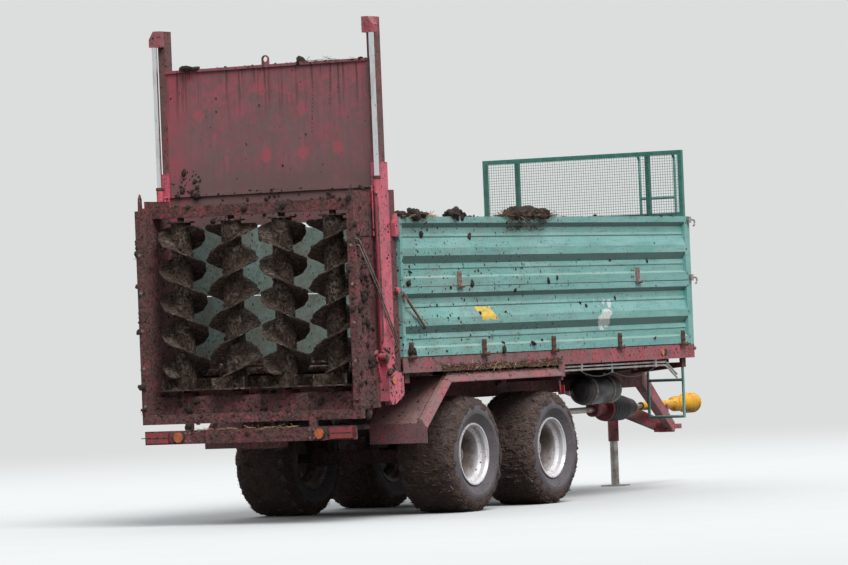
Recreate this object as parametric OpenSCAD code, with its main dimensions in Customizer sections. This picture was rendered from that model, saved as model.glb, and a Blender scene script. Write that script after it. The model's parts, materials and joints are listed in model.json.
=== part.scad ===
/* [Load box] */
// Length of the load box, outside
box_l = 4900; // [4600:50:5300]
// Width across the outer faces of the side boards
box_w = 1906; // [1860:2:2000]
// Height of one side board, two stand on each other
board_h = 521; // [480:1:560]
// Thickness of a side board over its ribs
board_t = 45; // [40:1:60]
// Depth of the pressed recesses in a board's outer face
recess_d = 31; // [15:1:32]
// Gap round a board, to what is fixed beside it
board_gap = 6; // [5:1:10]
// Height of the sill's top over the ground
sill_top = 1183; // [1160:1:1260]
// Height of the sill
sill_h = 112; // [105:1:130]
// Thickness of the sill's steel
sill_t = 8; // [5:1:10]
// How far the sill's web lies inside the boards' outer face
sill_inset = 5; // [2:1:10]
// Thickness of the floor
floor_t = 35; // [25:1:40]
// Thickness of the front wall's panel
wall_t = 40; // [25:1:50]
// Width of the front corner posts along the box
post_w = 60; // [50:1:80]
// Height of the mesh guard over the boards' rim
guard_h = 545; // [300:5:700]
// Side of the guard's tubes
guard_tube = 35; // [25:1:45]
// Spacing of the guard's mesh wires
mesh_pitch = 22; // [20:1:60]
// Thickness of one mesh wire
mesh_wire = 3; // [2.5:0.5:5]

/* [Hinges and latches] */
// Number of hinges under each lower board
low_hinges = 5; // [3:1:7]
// Number of hinges between the boards of a side
mid_hinges = 2; // [2:1:4]
// Distance of the hinge pins outside the boards' outer face
hinge_out = 20; // [20:1:26]
// Radius of a hinge knuckle
knuckle_r = 12; // [11:0.5:12]
// Radius of a hinge pin
pin_r = 7; // [6:0.5:8]
// Radial clearance of a pin in its bore
pin_clear = 0.05; // [0.02:0.01:0.1]
// Length of a hinge's knuckle
knuckle_l = 60; // [40:1:80]
// Height of a hinge's strap on the board
strap_h = 110; // [80:1:140]

/* [Chassis] */
// Width of a main rail
rail_w = 80; // [60:1:100]
// Height of a main rail
rail_h = 190; // [150:1:200]
// Height of the main rails' top
rail_top = 1036; // [1030:1:1040]
// Reach of the hitch eye's centre in front of the box
hitch_reach = 1500; // [1300:10:1600]
// Height of the hitch eye's centre
hitch_z = 480; // [440:5:520]
// Radius of the hitch eye's bore
hitch_bore_r = 25; // [20:1:30]
// Height of the hitch eye's ring
hitch_eye_h = 40; // [30:1:50]
// Radius of the parking jack's tube
jack_r = 45; // [42:1:55]
// Radius of the jack's leg
leg_r = 34; // [30:1:36]
// Reach of the jack in front of the box
jack_reach = 1000; // [900:10:1050]

/* [Wheels] */
// Radius of the tyres, to the tips of the tread
tyre_r = 433; // [420:1:445]
// Width of a tyre
tyre_w = 490; // [440:1:500]
// Bead seat radius of the rims
rim_r = 216; // [200:1:230]
// Width between the rim's flanges
rim_w = 406; // [360:1:420]
// Distance between the two axles
axle_gap = 1275; // [1220:5:1350]
// Distance of the rear axle in front of the box's rear end
axle_back = 1090; // [1050:5:1120]
// Side of the square axle beams
axle_side = 100; // [80:1:110]
// Radius of the axle stub in its hub
stub_r = 35; // [30:1:40]
// Number of tread blocks in each of a tyre's two rows
tread_blocks = 22; // [16:1:26]
// Height of the tread blocks
tread_h = 16; // [10:1:20]

/* [Fenders] */
// Height of the fender's flat top
fender_z = 1030; // [1020:1:1034]
// Height of the raised crown along the fender's outer side
fender_rise = 22; // [10:1:30]
// How far the fender's outer edge stands out of the boards' outer face
fender_out = 10; // [0:1:20]
// Drop of the fender's sloping side from the crown to its outer edge
fender_drop = 60; // [40:1:70]
// Height of the fender's lip
fender_lip = 8; // [6:1:20]
// Thickness of the fender's sheet
fender_t = 5; // [3:1:6]

/* [Gate] */
// Height of the gate's plate
gate_h = 1185; // [1100:5:1200]
// Height of the gate's lower edge when it is raised
gate_z = 2213; // [2180:1:2260]
// How far the gate's rails stand over its plate
rail_over = 300; // [295:5:400]
// Distance of the gate rails' middle behind the box
gate_back = 172; // [165:1:173]
// Travel of the gate from raised to shut
gate_travel = 945; // [800:5:945]
// Radius of the lift cylinders' rods
rod_r = 20; // [18:1:21]
// Radius of the lift cylinders' barrels
barrel_r = 26; // [26:1:28]
// Height of the lift cylinders' lower pins
foot_z = 1205; // [1190:1:1208]

/* [Spreading unit] */
// Depth of the machine behind the box
unit_depth = 690; // [680:5:720]
// Distance of the beaters' axes behind the box
beater_back = 445; // [445:1:450]
// Number of standing beaters
beaters = 4; // [4:1:4]
// Radius of a beater's tube
tube_r = 75; // [60:1:85]
// Rise of a beater's flight in one turn
flight_pitch = 480; // [380:10:600]
// Height of a beater's throwing disc
disc_z = 1004; // [1000:1:1010]
// Height of the unit's top beam
unit_top = 2290; // [2270:1:2300]
// Height of the foot of the unit's rear posts
unit_foot = 760; // [740:1:780]

/* [Drive] */
// Height of the drive shaft's axis
shaft_z = 670; // [660:1:690]
// Reach of the drive shaft's guard in front of the box
shaft_reach = 1875; // [1850:5:2000]
// Radius of the drive shaft's tube
shaft_r = 20; // [18:1:24]
// Outer radius of the yellow guard tube
guard_r = 36; // [34:1:40]
// Radius of the splined bore in the shaft's front yoke
spline_r = 17.46; // [17:0.02:18]

/* [Ladder] */
// Distance between the ladder's rails
ladder_w = 320; // [280:5:400]
// Height of the ladder's lowest rung
ladder_low = 590; // [550:5:650]
// Spacing of the ladder's rungs
rung_gap = 300; // [280:5:320]
// Radius of the ladder's tubes
ladder_r = 12; // [10:1:15]

/* [Hidden] */
$fn = 48;
e = 0.01;
seat = 0.3;
steel_red = "#b03040";
deep_red = "#7c2733";
green = "#5fa592";
dark_green = "#1f5e4e";

front_end = (unit_depth + box_l + shaft_reach) / 2;
box_front = front_end - shaft_reach;
box_rear = box_front - box_l;
rear_end = box_rear - unit_depth;
half = box_w / 2;
board_in = half - board_t;
rim_z = sill_top + 2 * board_h;
mid_z = sill_top + board_h;
sill_low = sill_top - sill_h;
web_out = half - sill_inset;
web_in = web_out - sill_t;
axle_rear_x = box_rear + axle_back;
axle_front_x = axle_rear_x + axle_gap;
axle_mid_x = (axle_rear_x + axle_front_x) / 2;
tyre_mid = half - tyre_w / 2;
gate_x = box_rear - gate_back;
cyl_x = gate_x - 92;
// The cylinder's barrel is longer than its stroke by the room for its piston and its foot
dead_length = 358;
barrel_top = foot_z + gate_travel + dead_length;
gate_half = half - 25;
cyl_y = gate_half + 5;
foot_eye_r = 30;
bore_end = foot_z + 60;
unit_half = gate_half - 60;
beater_x = box_rear - beater_back;
pitch_y = 2 * unit_half / beaters;
beater_r = pitch_y / 2 - 13;
rail_bottom = rail_top - rail_h;
tyre_in = half - tyre_w;
rail_in = tyre_in - 23 - rail_w;

module block(x0, x1, y0, y1, z0, z1) {
    translate([x0, y0, z0]) cube([x1 - x0, y1 - y0, z1 - z0]);
}

module rod_x(x0, x1, y, z, r) {
    translate([x0, y, z]) rotate([0, 90, 0]) cylinder(h = x1 - x0, r = r);
}

module rod_y(x, y0, y1, z, r) {
    translate([x, y0, z]) rotate([-90, 0, 0]) cylinder(h = y1 - y0, r = r);
}

module rod_z(x, y, z0, z1, r) {
    translate([x, y, z0]) cylinder(h = z1 - z0, r = r);
}

// An outline in Y and Z, drawn out along X
module along_x(x0, x1) {
    translate([x0, 0, 0]) rotate([90, 0, 90]) linear_extrude(x1 - x0) children();
}

// An outline in X and Z, drawn out along Y
module along_y(y0, y1) {
    translate([0, y1, 0]) rotate([90, 0, 0]) linear_extrude(y1 - y0) children();
}

module both_sides() {
    children();
    mirror([0, 1, 0]) children();
}

// Places of the cross beams, as shares of the box's length from its rear end
bolster_places = [0.025, 0.551, 0.796, 0.976];
// Places of the members between the main rails, over the axles' springs
cross_members = [axle_mid_x - 500, axle_mid_x + 500];

module chassis_frame() {
    color(steel_red) {
        both_sides() difference() {
            block(box_rear, box_front + 40, rail_in, rail_in + rail_w, rail_bottom, rail_top);
            block(box_rear - 1, box_front + 41, rail_in + 7, rail_in + rail_w - 7, rail_bottom + 9, rail_top - 9);
        }
        for (x = cross_members) block(x - 40, x + 40, -rail_in, rail_in, rail_bottom, rail_bottom + 110);
    }
}

// Cross beams that carry the sills: one piece between the rails and a bracket outside each rail
module bolsters() {
    color(steel_red) for (b = bolster_places) {
        x = box_rear + b * box_l;
        block(x - 35, x + 35, -rail_in, rail_in, rail_top - 80, rail_top);
        both_sides() along_x(x - 35, x + 35) polygon([[rail_in + rail_w, rail_top - 80],
            [web_in - 70, rail_top - 40], [web_in - 35, rail_top - 40], [web_in - 35, sill_low],
            [web_in - 58, sill_low], [web_in - 58, rail_top], [rail_in + rail_w, rail_top]]);
    }
}

function low_hinge_x(i) = box_rear + 110 + i * (box_l - 330) / (low_hinges - 1);
function mid_hinge_x(i) = box_rear + 900 + i * (box_l - 1900) / (mid_hinges - 1);

// Fixed half of a hinge: two lugs and the pin through them
module hinge_lugs(x, z, base_out) {
    y = half + hinge_out;
    for (s = [-1, 1]) {
        lug = x + s * (knuckle_l / 2 + 9);
        rod_x(lug - 6, lug + 6, y, z, knuckle_r);
        block(lug - 6, lug + 6, base_out, y, z - 14, z - 5);
    }
    rod_x(x - knuckle_l / 2 - 9, x + knuckle_l / 2 + 9, y, z, pin_r);
}

// Moving half of a hinge: a knuckle on a strap up the board's face
module hinge_strap(x, z) {
    y = half + hinge_out;
    difference() {
        union() {
            rod_x(x - knuckle_l / 2, x + knuckle_l / 2, y, z, knuckle_r);
            block(x - knuckle_l / 2, x + knuckle_l / 2, half, y, z + 3, z + knuckle_r);
            block(x - knuckle_l / 2, x + knuckle_l / 2, half, half + 8, z + 3, z + strap_h);
        }
        rod_x(x - knuckle_l, x + knuckle_l, y, z, pin_r + pin_clear);
    }
}

module sills() {
    low_axis = sill_top + board_gap / 2;
    color(steel_red) both_sides() {
        block(box_rear, box_front, web_in, web_out, sill_low, sill_top);
        block(box_rear, box_front, web_in - 50, web_in, sill_low, sill_low + sill_t);
        block(box_rear, box_front, web_in - 50, web_in, sill_top - sill_t, sill_top);
        for (i = [0 : low_hinges - 1]) hinge_lugs(low_hinge_x(i), low_axis, web_out);
    }
    color(steel_red) {
        block(box_front - sill_t, box_front, -web_in, web_in, sill_low, sill_top);
        block(box_front - post_w, box_front, -web_in + 50, web_in - 50, sill_top - sill_t, sill_top);
        both_sides() rod_x(box_front - 1, box_front + 65, web_in - 20, sill_top - 37, 15);
    }
}

floor_top = sill_top - sill_t;
cross_h = 38;
cross_pitch = 620;

module floor() {
    color("#7d6a58") {
        block(box_rear + 10, chain_front - 60, -web_in, web_in, floor_top - floor_t, floor_top);
        n = floor((box_l - 460) / cross_pitch);
        for (i = [0 : n]) {
            x = box_rear + 140 + i * (box_l - 460) / n;
            block(x - 30, x + 30, -web_in, web_in, floor_top - floor_t - cross_h, floor_top - floor_t);
        }
    }
}

// The floor chain runs over a wheel at each end
chain_y = 560;
post_in = half - 50;
chain_t = 14;
wheel_r = 52;
chain_rear = box_rear - 62;
chain_front = box_front - 160;
chain_z = floor_top + chain_t / 2 + seat - wheel_r;
link_l = 220;
link_w = 36;

module chain_run(z) {
    n = floor((chain_front - chain_rear) / link_l);
    p = (chain_front - chain_rear) / n;
    w = link_w / 2;
    edge = [for (i = [0 : n - 1]) for (q = [[0, w - 7], [12, w], [p - 12, w]]) [i * p + q[0], q[1]]];
    last = len(edge) - 1;
    other = [for (k = [0 : last]) [edge[last - k][0], -edge[last - k][1]]];
    translate([chain_rear, 0, z - chain_t / 2]) linear_extrude(chain_t) difference() {
        polygon(concat(edge, [[n * p, w - 7], [n * p, 7 - w]], other));
        for (i = [0 : n - 1]) translate([(i + 0.5) * p - 52, -8]) square([104, 16]);
    }
}

// The half turn of the chain round a wheel
module chain_turn(x, angle) {
    translate([x, 0, chain_z]) rotate([90, 0, 0]) rotate([0, 0, angle]) rotate_extrude(angle = 180)
        translate([wheel_r - chain_t / 2, 7 - link_w / 2]) square([chain_t, link_w - 14]);
}

module floor_chains() {
    color("#4a443f") for (y = [-chain_y, chain_y]) translate([0, y, 0]) {
        for (z = [chain_z + wheel_r, chain_z - wheel_r]) chain_run(z);
        chain_turn(chain_rear, 90);
        chain_turn(chain_front, -90);
    }
}

slat_w = 50;
slat_h = 30;
slat_gap = 392;
slat_half = 876;

module slat(z, web) {
    y = slat_half;
    difference() {
        block(-slat_w / 2, slat_w / 2, -y, y, z, z + slat_h);
        z0 = z + (web > 0 ? -1 : 6);
        block(6 - slat_w / 2, slat_w / 2 - 6, -y - 1, y + 1, z0, z0 + slat_h - 5);
    }
}

module floor_slats() {
    n = floor((chain_front - chain_rear) / slat_gap);
    p = (chain_front - chain_rear) / n;
    color("#6b5c50") for (i = [0 : n - 1]) translate([chain_rear + (i + 0.5) * p, 0, 0]) {
        slat(chain_z + wheel_r + chain_t / 2 + seat, 1);
        slat(chain_z - wheel_r - chain_t / 2 - seat - slat_h, -1);
    }
}

module floor_drive() {
    color("#5a5653") {
        for (c = [[chain_rear, post_in], [chain_front, web_in]]) {
            rod_y(c[0], -c[1], c[1], chain_z, 24);
            for (y = [-chain_y, chain_y]) rod_y(c[0], y - 9, y + 9, chain_z, wheel_r - chain_t / 2 - seat);
            both_sides() block(c[0] - 40, c[0] + 40, c[1] - 25, c[1], chain_z - 45, floor_top);
        }
    }
}

wall_ribs = [sill_top + 260, sill_top + 520, sill_top + 780];

module front_wall() {
    x0 = box_front - post_w + 5;
    y = half - 60;
    cover_z = chain_z + wheel_r + chain_t / 2 + 3;
    color(green) {
        block(x0, x0 + wall_t, -y, y, sill_top, rim_z);
        for (z = wall_ribs) block(box_front - 20, box_front, -y, y, z - 35, z + 35);
        block(chain_front - 90, x0, -y, y, cover_z, cover_z + 6);
    }
    color(dark_green) both_sides() block(box_front - post_w, box_front, half - 60, half - 6, sill_top, rim_z);
}

guard_x = box_front - 30;
guard_top = rim_z + guard_h;
guard_posts = [half - 50, half - 350];

module guard_frame() {
    g = guard_tube / 2;
    color(dark_green) {
        for (y = guard_posts) both_sides()
            block(guard_x - g, guard_x + g, y - g, y + g, rim_z, guard_top - guard_tube);
        block(guard_x - g, guard_x + g, -guard_posts[0] - g, guard_posts[0] + g, guard_top - guard_tube, guard_top);
        block(guard_x - g, guard_x + g, -guard_posts[0] + g, guard_posts[0] - g, rim_z, rim_z + guard_tube);
    }
}

module guard_mesh() {
    r = mesh_wire / 2;
    w = 2 * guard_posts[0];
    h = guard_h - guard_tube;
    ny = round(w / mesh_pitch);
    nz = round(h / mesh_pitch);
    x = guard_x - guard_tube / 2 - r - seat;
    z0 = rim_z + guard_tube / 2;
    color(dark_green) {
        for (i = [1 : ny - 1]) rod_z(x, -w / 2 + i * w / ny, z0, z0 + h, r);
        for (i = [1 : nz - 1]) rod_y(x - mesh_wire - seat, -w / 2, w / 2, z0 + i * h / nz, r);
    }
}

ladder_x = box_front + 130;
ladder_y = -half + 343;
ladder_bend = 60;

// A ladder rail with the bend at its top that hangs on the guard's top tube
module ladder_rail(y) {
    top = guard_top - guard_tube / 2;
    bend_x = ladder_x - ladder_bend;
    rod_z(ladder_x, y, ladder_low - ladder_r, top - ladder_bend, ladder_r);
    translate([bend_x, y, top - ladder_bend]) rotate([90, 0, 0]) rotate_extrude(angle = 90)
        translate([ladder_bend, 0]) circle(ladder_r);
    rod_x(guard_x + guard_tube / 2, bend_x, y, top, ladder_r);
    for (z = [sill_low + sill_h / 2, wall_ribs[0], wall_ribs[2]]) rod_x(box_front, ladder_x, y, z, ladder_r);
}

module ladder_rails() {
    color("#3f6d5f") for (s = [-1, 1]) ladder_rail(ladder_y + s * ladder_w / 2);
}

module ladder_rungs() {
    n = floor((guard_top - ladder_low) / rung_gap);
    w = ladder_w / 2;
    color("#3f6d5f") difference() {
        for (i = [0 : n - 1]) rod_y(ladder_x, ladder_y - w, ladder_y + w, ladder_low + i * rung_gap, ladder_r);
        for (s = [-1, 1]) rod_z(ladder_x, ladder_y + s * w, ladder_low - 20, guard_top, ladder_r);
    }
}

// Outer face of a side board: columns are share of the height from the top, share of the recess depth
board_face = [[0, 0], [0.09, 0], [0.155, 1], [0.24, 1], [0.275, 0.8], [0.285, 0.8], [0.288, 1], [0.3, 1],
    [0.303, 0.8], [0.45, 0], [0.56, 0], [0.67, 1], [0.73, 0.8], [0.745, 0.8], [0.748, 1], [0.76, 1],
    [0.763, 0.9], [0.85, 0.9], [0.88, 0], [1, 0]];
end_strip = 38;
board_x0 = box_rear + board_gap;
board_x1 = box_front - post_w - board_gap;

module board(z0, z1) {
    h = z1 - z0;
    outer = [for (p = board_face) [half - p[1] * recess_d, z1 - p[0] * h]];
    color(green) {
        along_x(board_x0, board_x1) polygon(concat([[board_in, z1]], outer, [[board_in, z0]]));
        for (x = [board_x0, board_x1 - end_strip]) block(x, x + end_strip, board_in, half, z0, z1);
    }
}

module lower_board() {
    low_axis = sill_top + board_gap / 2;
    lever_x = board_x0 - 16;
    lever_z = mid_z - 38;
    union() {
        board(sill_top + board_gap, mid_z - board_gap / 2);
        color("#6a4b3c") {
            for (i = [0 : low_hinges - 1]) hinge_strap(low_hinge_x(i), low_axis);
            for (i = [0 : mid_hinges - 1]) hinge_lugs(mid_hinge_x(i), mid_z, half - 4);
            block(lever_x + 20, lever_x + 60, half - 34, half + 22, lever_z - 60, lever_z - 20);
            translate([lever_x, half + 18, lever_z]) rotate([0, 129, 0]) cylinder(h = 400, r = 10);
        }
    }
}

module upper_board() {
    union() {
        board(mid_z + board_gap / 2, rim_z);
        color("#6a4b3c") for (i = [0 : mid_hinges - 1]) hinge_strap(mid_hinge_x(i), mid_z);
    }
}

// Latch that holds a board's front end: a bracket, a bar and the hook at its end
module latch(z) {
    y = half + 10;
    hook_r = 24;
    x = box_front + 45;
    block(box_front - 48, box_front - 12, half - 6, y + 10, z - 26, z + 26);
    rod_x(box_front - 55, x, y, z, 8);
    translate([x, y, z - hook_r]) rotate([90, 0, 0]) rotate([0, 0, -90]) rotate_extrude(angle = 180)
        translate([hook_r, 0]) circle(7);
}

module board_latches() {
    color("#8c8f86") both_sides() for (z = [rim_z - 30, mid_z + 20]) latch(z);
}

// Rear corner of the box: the corner post and the channel that guides the gate
rail_half = 48;
rail_y0 = unit_half;
rail_y1 = gate_half;
column_x0 = gate_x - rail_half - 11;
column_x1 = gate_x + rail_half + 11;
column_t = 6;
column_out = rail_y1 + 13;
column_top = 2628;
column_low = 874;
post_out = column_out - 18;
foot_pin_r = 18;
gate_eye_r = 20;

module rear_portal() {
    color(steel_red) both_sides() {
        cylinder_foot();
        block(column_x0, column_x1, column_out - column_t, column_out, column_low, column_top);
        for (x = [column_x0, column_x1 - column_t])
            block(x, x + column_t, rail_y0, column_out - column_t, column_low, column_top);
        block(column_x1, box_rear, post_in, post_out, column_low, rim_z + 200);
        rod_y(box_rear - 40, post_out, column_out + 16, mid_z - 20, 22);
        along_y(post_out - e, column_out + 14) polygon([[box_rear - 60, rim_z - 145], [box_rear - 5, rim_z - 145],
            [box_rear - 5, rim_z - 25], [box_rear - 25, rim_z + 25], [box_rear - 60, rim_z - 45]]);
    }
    color(deep_red) {
        block(column_x1, box_rear, -post_in, post_in, rail_top - 90, rail_top);
        both_sides() lock_rod();
    }
}

// Bent rod on the rear side of a guide column
module lock_rod() {
    x = column_x0 - 35;
    y = unit_half + 22;
    low = column_top - 537;
    high = column_top - 177;
    rod_z(x, y, low, high, 8);
    for (z = [low, high]) {
        rod_x(x, column_x0, y, z, 8);
        translate([x, y, z]) sphere(8);
    }
}

// Foot of a lift cylinder: an ear with a strap inside it, the pin, and the plate that ends the column
module cylinder_foot() {
    ear_y = unit_half + 8;
    low = 845;
    along_y(ear_y, ear_y + 14) union() {
        polygon([[cyl_x - 46, foot_z], [cyl_x + 100, low], [cyl_x + 150, low], [cyl_x + 165, low + 70],
            [cyl_x + 46, foot_z]]);
        translate([cyl_x, foot_z]) circle(46);
    }
    rod_y(cyl_x, ear_y, cyl_y + 22, foot_z, foot_pin_r);
    along_y(post_out - e, column_out + 10) polygon([[column_x0, low + 40], [column_x0 + 36, low],
        [column_x0 + 90, low + 5], [box_rear - 10, low + 70], [box_rear - 10, low + 220], [column_x0, low + 275]]);
}

module cylinder_barrels() {
    color(steel_red) both_sides() difference() {
        union() {
            rod_z(cyl_x, cyl_y, foot_z + 30, barrel_top, barrel_r);
            rod_y(cyl_x, cyl_y - 22, cyl_y + 22, foot_z, foot_eye_r);
        }
        rod_y(cyl_x, cyl_y - 40, cyl_y + 40, foot_z, foot_pin_r + pin_clear);
        rod_z(cyl_x, cyl_y, bore_end, barrel_top + 1, rod_r + pin_clear);
    }
}

gate_top = gate_z + gate_h;
lip_z = gate_z + 235;

module gate() {
    // The plate lies at the rails' rear side
    x = gate_x - rail_half + 3;
    y = rail_y0 - 6;
    color(steel_red) {
        block(x - 3, x + 3, -rail_y0, rail_y0, gate_z, gate_top);
        for (z = [gate_z, lip_z, gate_top - 20]) block(x - 18, x - 3, -y, y, z, z + 20);
        for (s = [-1, 1]) block(x + 3, x + 25, s * rail_y0 / 3 - 25, s * rail_y0 / 3 + 25, gate_z, gate_top);
        difference() {
            union() {
                rod_x(x - 8, x + 8, 0, gate_top + 40, 30);
                block(x - 8, x + 8, -30, 30, gate_top - e, gate_top + 40);
            }
            rod_x(x - 9, x + 9, 0, gate_top + 40, gate_eye_r);
        }
    }
}

rails_top = gate_top + rail_over;
head_h = 118;

module gate_rails() {
    w = rail_half;
    color(deep_red) both_sides() {
        difference() {
            block(gate_x - w, gate_x + w, rail_y0, rail_y1, gate_z - 30, rails_top);
            block(gate_x - w + 5, gate_x + w - 5, rail_y0 + 5, rail_y1 - 5, gate_z - 31, rails_top - 5);
        }
        along_x(cyl_x - 28, gate_x - w + 2) polygon([[rail_y0 + 2, rails_top - head_h],
            [rail_y1 + 34, rails_top - head_h], [rail_y1 + 34, rails_top - 60], [rail_y1 - 4, rails_top],
            [rail_y0 + 2, rails_top]]);
    }
}

module cylinder_rods() {
    color("silver") both_sides() rod_z(cyl_x, cyl_y, bore_end + gate_travel + 8, rails_top - head_h, rod_r);
}

module unit_sides() {
    color(steel_red) both_sides()
        block(rear_end + 60, column_x0, unit_half, unit_half + 6, unit_foot + 70, unit_top + 80);
}

post_y0 = unit_half + 6;

module unit_frame() {
    x1 = rear_end + 110;
    color(deep_red) {
        both_sides() {
            block(x1 - 55, x1, post_y0, post_y0 + 60, unit_foot, unit_top + 60);
            difference() {
                along_y(post_y0 + 20, post_y0 + 34) polygon([[x1 - 50, unit_top + 60], [x1 - 5, unit_top + 60],
                    [x1 - 10, unit_top + 150], [x1 - 27, unit_top + 185], [x1 - 45, unit_top + 150]]);
                rod_y(x1 - 28, post_y0, post_y0 + 60, unit_top + 135, 13);
            }
            block(x1, column_x0, post_y0, post_y0 + 7, unit_top + 30, unit_top + 130);
            difference() {
                block(cyl_x - 272, cyl_x - 45, post_y0, post_y0 + 8, unit_top - 200, unit_top + 31);
                rod_y(cyl_x - 180, post_y0 - 1, post_y0 + 9, unit_top - 7, 20);
            }
        }
        block(x1 - 55, x1, -post_y0, post_y0, unit_foot, unit_foot + 70);
    }
}

module unit_top_beam() {
    color(steel_red) difference() {
        block(beater_x - 50, beater_x + 50, -unit_half, unit_half, unit_top, unit_top + 80);
        block(beater_x - 44, beater_x + 44, -unit_half - 1, unit_half + 1, unit_top + 12, unit_top + 74);
        for (i = [0 : beaters - 1]) rod_z(beater_x, beater_y(i), unit_top - 1, unit_top + 13, 25 + pin_clear);
    }
}

function beater_y(i) = (i - (beaters - 1) / 2) * pitch_y;
beam_z0 = unit_foot + 20;
beam_z1 = disc_z - 44;

module beater_gearbox() {
    color(deep_red) difference() {
        union() {
            block(beater_x - 90, beater_x + 90, -unit_half, unit_half, beam_z0, beam_z1);
            for (i = [0 : beaters - 1]) rod_z(beater_x, beater_y(i), beam_z1, beam_z1 + 30, 85);
            block(beater_x - 110, beater_x + 130, -120, 120, shaft_z - 110, beam_z0);
            block(beater_x + 89, column_x1, -60, 60, beam_z1 - 60, beam_z1 + 30);
        }
        for (i = [0 : beaters - 1]) rod_z(beater_x, beater_y(i), beam_z1 - 40, beam_z1 + 31, 25 + pin_clear);
        rod_x(beater_x + 60, beater_x + 131, 0, shaft_z, 25 + pin_clear);
    }
}

flight_z0 = disc_z + 96;
flight_z1 = unit_top - 60;

module beater_core(i) {
    color("#6d4a44") translate([beater_x, beater_y(i), 0]) {
        rod_z(0, 0, disc_z, unit_top - 30, tube_r);
        rod_z(0, 0, beam_z1 - 38, unit_top + 40, 25);
        rod_z(0, 0, disc_z, disc_z + 10, beater_r - 6);
        rod_z(0, 0, unit_top - 40, unit_top - 30, tube_r + 30);
        for (k = [0 : 3]) rotate(45 + 90 * k) block(tube_r - 5, beater_r - 8, -5, 5, disc_z + 9, disc_z + 90);
    }
}

// One helical flight with a blade standing out of its edge every few steps
flight_steps = 24;
blade_every = 6;

function flight_ring(k, hand, turn, r_out, t) = let(
        a = hand * (turn + k * 360 / flight_steps),
        z = flight_z0 + k * flight_pitch / flight_steps,
        r_in = (tube_r + seat) / cos(180 / flight_steps))
    [[r_in * cos(a), r_in * sin(a), z], [r_out * cos(a), r_out * sin(a), z],
     [r_out * cos(a), r_out * sin(a), z + t], [r_in * cos(a), r_in * sin(a), z + t]];

module flight(hand, turn) {
    n = floor((flight_z1 - flight_z0) * flight_steps / flight_pitch);
    t = 8;
    rings = [for (k = [0 : n]) flight_ring(k, hand, turn, k % blade_every < 2 ? beater_r : beater_r - 26, t)];
    pts = [for (r = rings) for (p = r) p];
    quads = [for (k = [0 : n - 1]) for (j = [0 : 3]) let(a = 4 * k + j, b = 4 * k + (j + 1) % 4)
        hand > 0 ? [[a, b, b + 4], [a, b + 4, a + 4]] : [[a, b + 4, b], [a, a + 4, b + 4]]];
    tris = [for (q = quads) for (f = q) f];
    end = 4 * n;
    caps = hand > 0 ? [[0, 3, 2, 1], [end, end + 1, end + 2, end + 3]]
        : [[0, 1, 2, 3], [end, end + 3, end + 2, end + 1]];
    polyhedron(pts, concat(tris, caps), convexity = 8);
}

module beater_flight(i) {
    color("#7a5048") translate([beater_x, beater_y(i), 0]) for (s = [0, 180]) flight(i % 2 == 0 ? 1 : -1, s);
}

module beater(i) {
    beater_core(i);
    beater_flight(i);
}

light_half = half - 53;
light_z = 662;

module light_board() {
    color(steel_red) {
        block(rear_end + 25, rear_end + 45, -light_half, light_half, light_z - 50, light_z + 50);
        both_sides() block(rear_end + 45, rear_end + 75, light_half - 400, light_half - 340, light_z - 22, unit_foot);
    }
}

module lamps() {
    color("#c8321e") both_sides() {
        block(rear_end + 5, rear_end + 25, light_half - 210, light_half - 20, light_z - 40, light_z + 40);
        rod_x(rear_end, rear_end + 25, light_half - 300, light_z, 38);
    }
    color("orange") both_sides() {
        rod_y(box_front - 600, web_out, web_out + 12, sill_low + 55, 22);
        rod_y(box_rear - 170, column_out + 10, column_out + 22, sill_low - 45, 30);
    }
    color("#b01c1c") both_sides()
        block(fender_x1 + 20, fender_x1 + 26, fender_y1 - 60, fender_y1 - 5, fender_edge_z - 152, fender_edge_z - 80);
}

// Sheet fender over both wheels of a side
fender_x0 = axle_rear_x - 391;
fender_x1 = axle_front_x + 153;
fender_y0 = tyre_mid - tyre_w / 2 + 10;
fender_y1 = half + fender_out;
fender_edge_z = fender_z + fender_rise - fender_drop;
slope_x = 408;
slope_z = 335;
// The fender's upper side from the rails outwards: columns are distance from the middle, height
fender_edge = [[fender_y0, fender_z], [slat_half - 4, fender_z], [slat_half + 18, fender_z + fender_rise],
    [fender_y1 - 38, fender_z + fender_rise], [fender_y1, fender_edge_z]];

// The bent sheet: its section at the front end, at the bend and at the foot of the slope
module fender_sheet() {
    t = fender_t;
    last = len(fender_edge) - 1;
    side = [[fender_y1, fender_edge_z - fender_lip], [fender_y1 - t, fender_edge_z - fender_lip],
        [fender_y1 - t, fender_edge_z - t]];
    under = [for (k = [last - 1 : -1 : 0]) fender_edge[k] - [0, t]];
    section = concat(fender_edge, side, under);
    n = len(section);
    // Columns are place along the machine, height over the flat part
    stations = [[fender_x1, 0], [fender_x0, 0], [fender_x0 - slope_x, -slope_z]];
    pts = [for (a = stations) for (p = section) [a[0], p[0], p[1] + a[1]]];
    sides = [for (r = [0, n]) for (k = [0 : n - 1]) let(m = (k + 1) % n) [r + k, r + n + k, r + n + m, r + m]];
    front = [for (k = [0 : last]) [k, k + 1, n - 2 - k, n - 1 - k]];
    rear = [for (q = front) [for (k = [3 : -1 : 0]) 2 * n + q[k]]];
    polyhedron(pts, concat(sides, front, rear), convexity = 6);
}

// A plate across the sheet, cut to its section at that place, down to a straight lower edge
module fender_plate(x0, x1, dz, low) {
    upper = [for (p = fender_edge)
        [min(max(p[0], fender_y0 + 1), fender_y1 - 1), p[1] + dz - fender_t / 2]];
    along_x(x0, x1) polygon(concat([[fender_y0 + 1, low]], upper, [[fender_y1 - 1, low]]));
}

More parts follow.
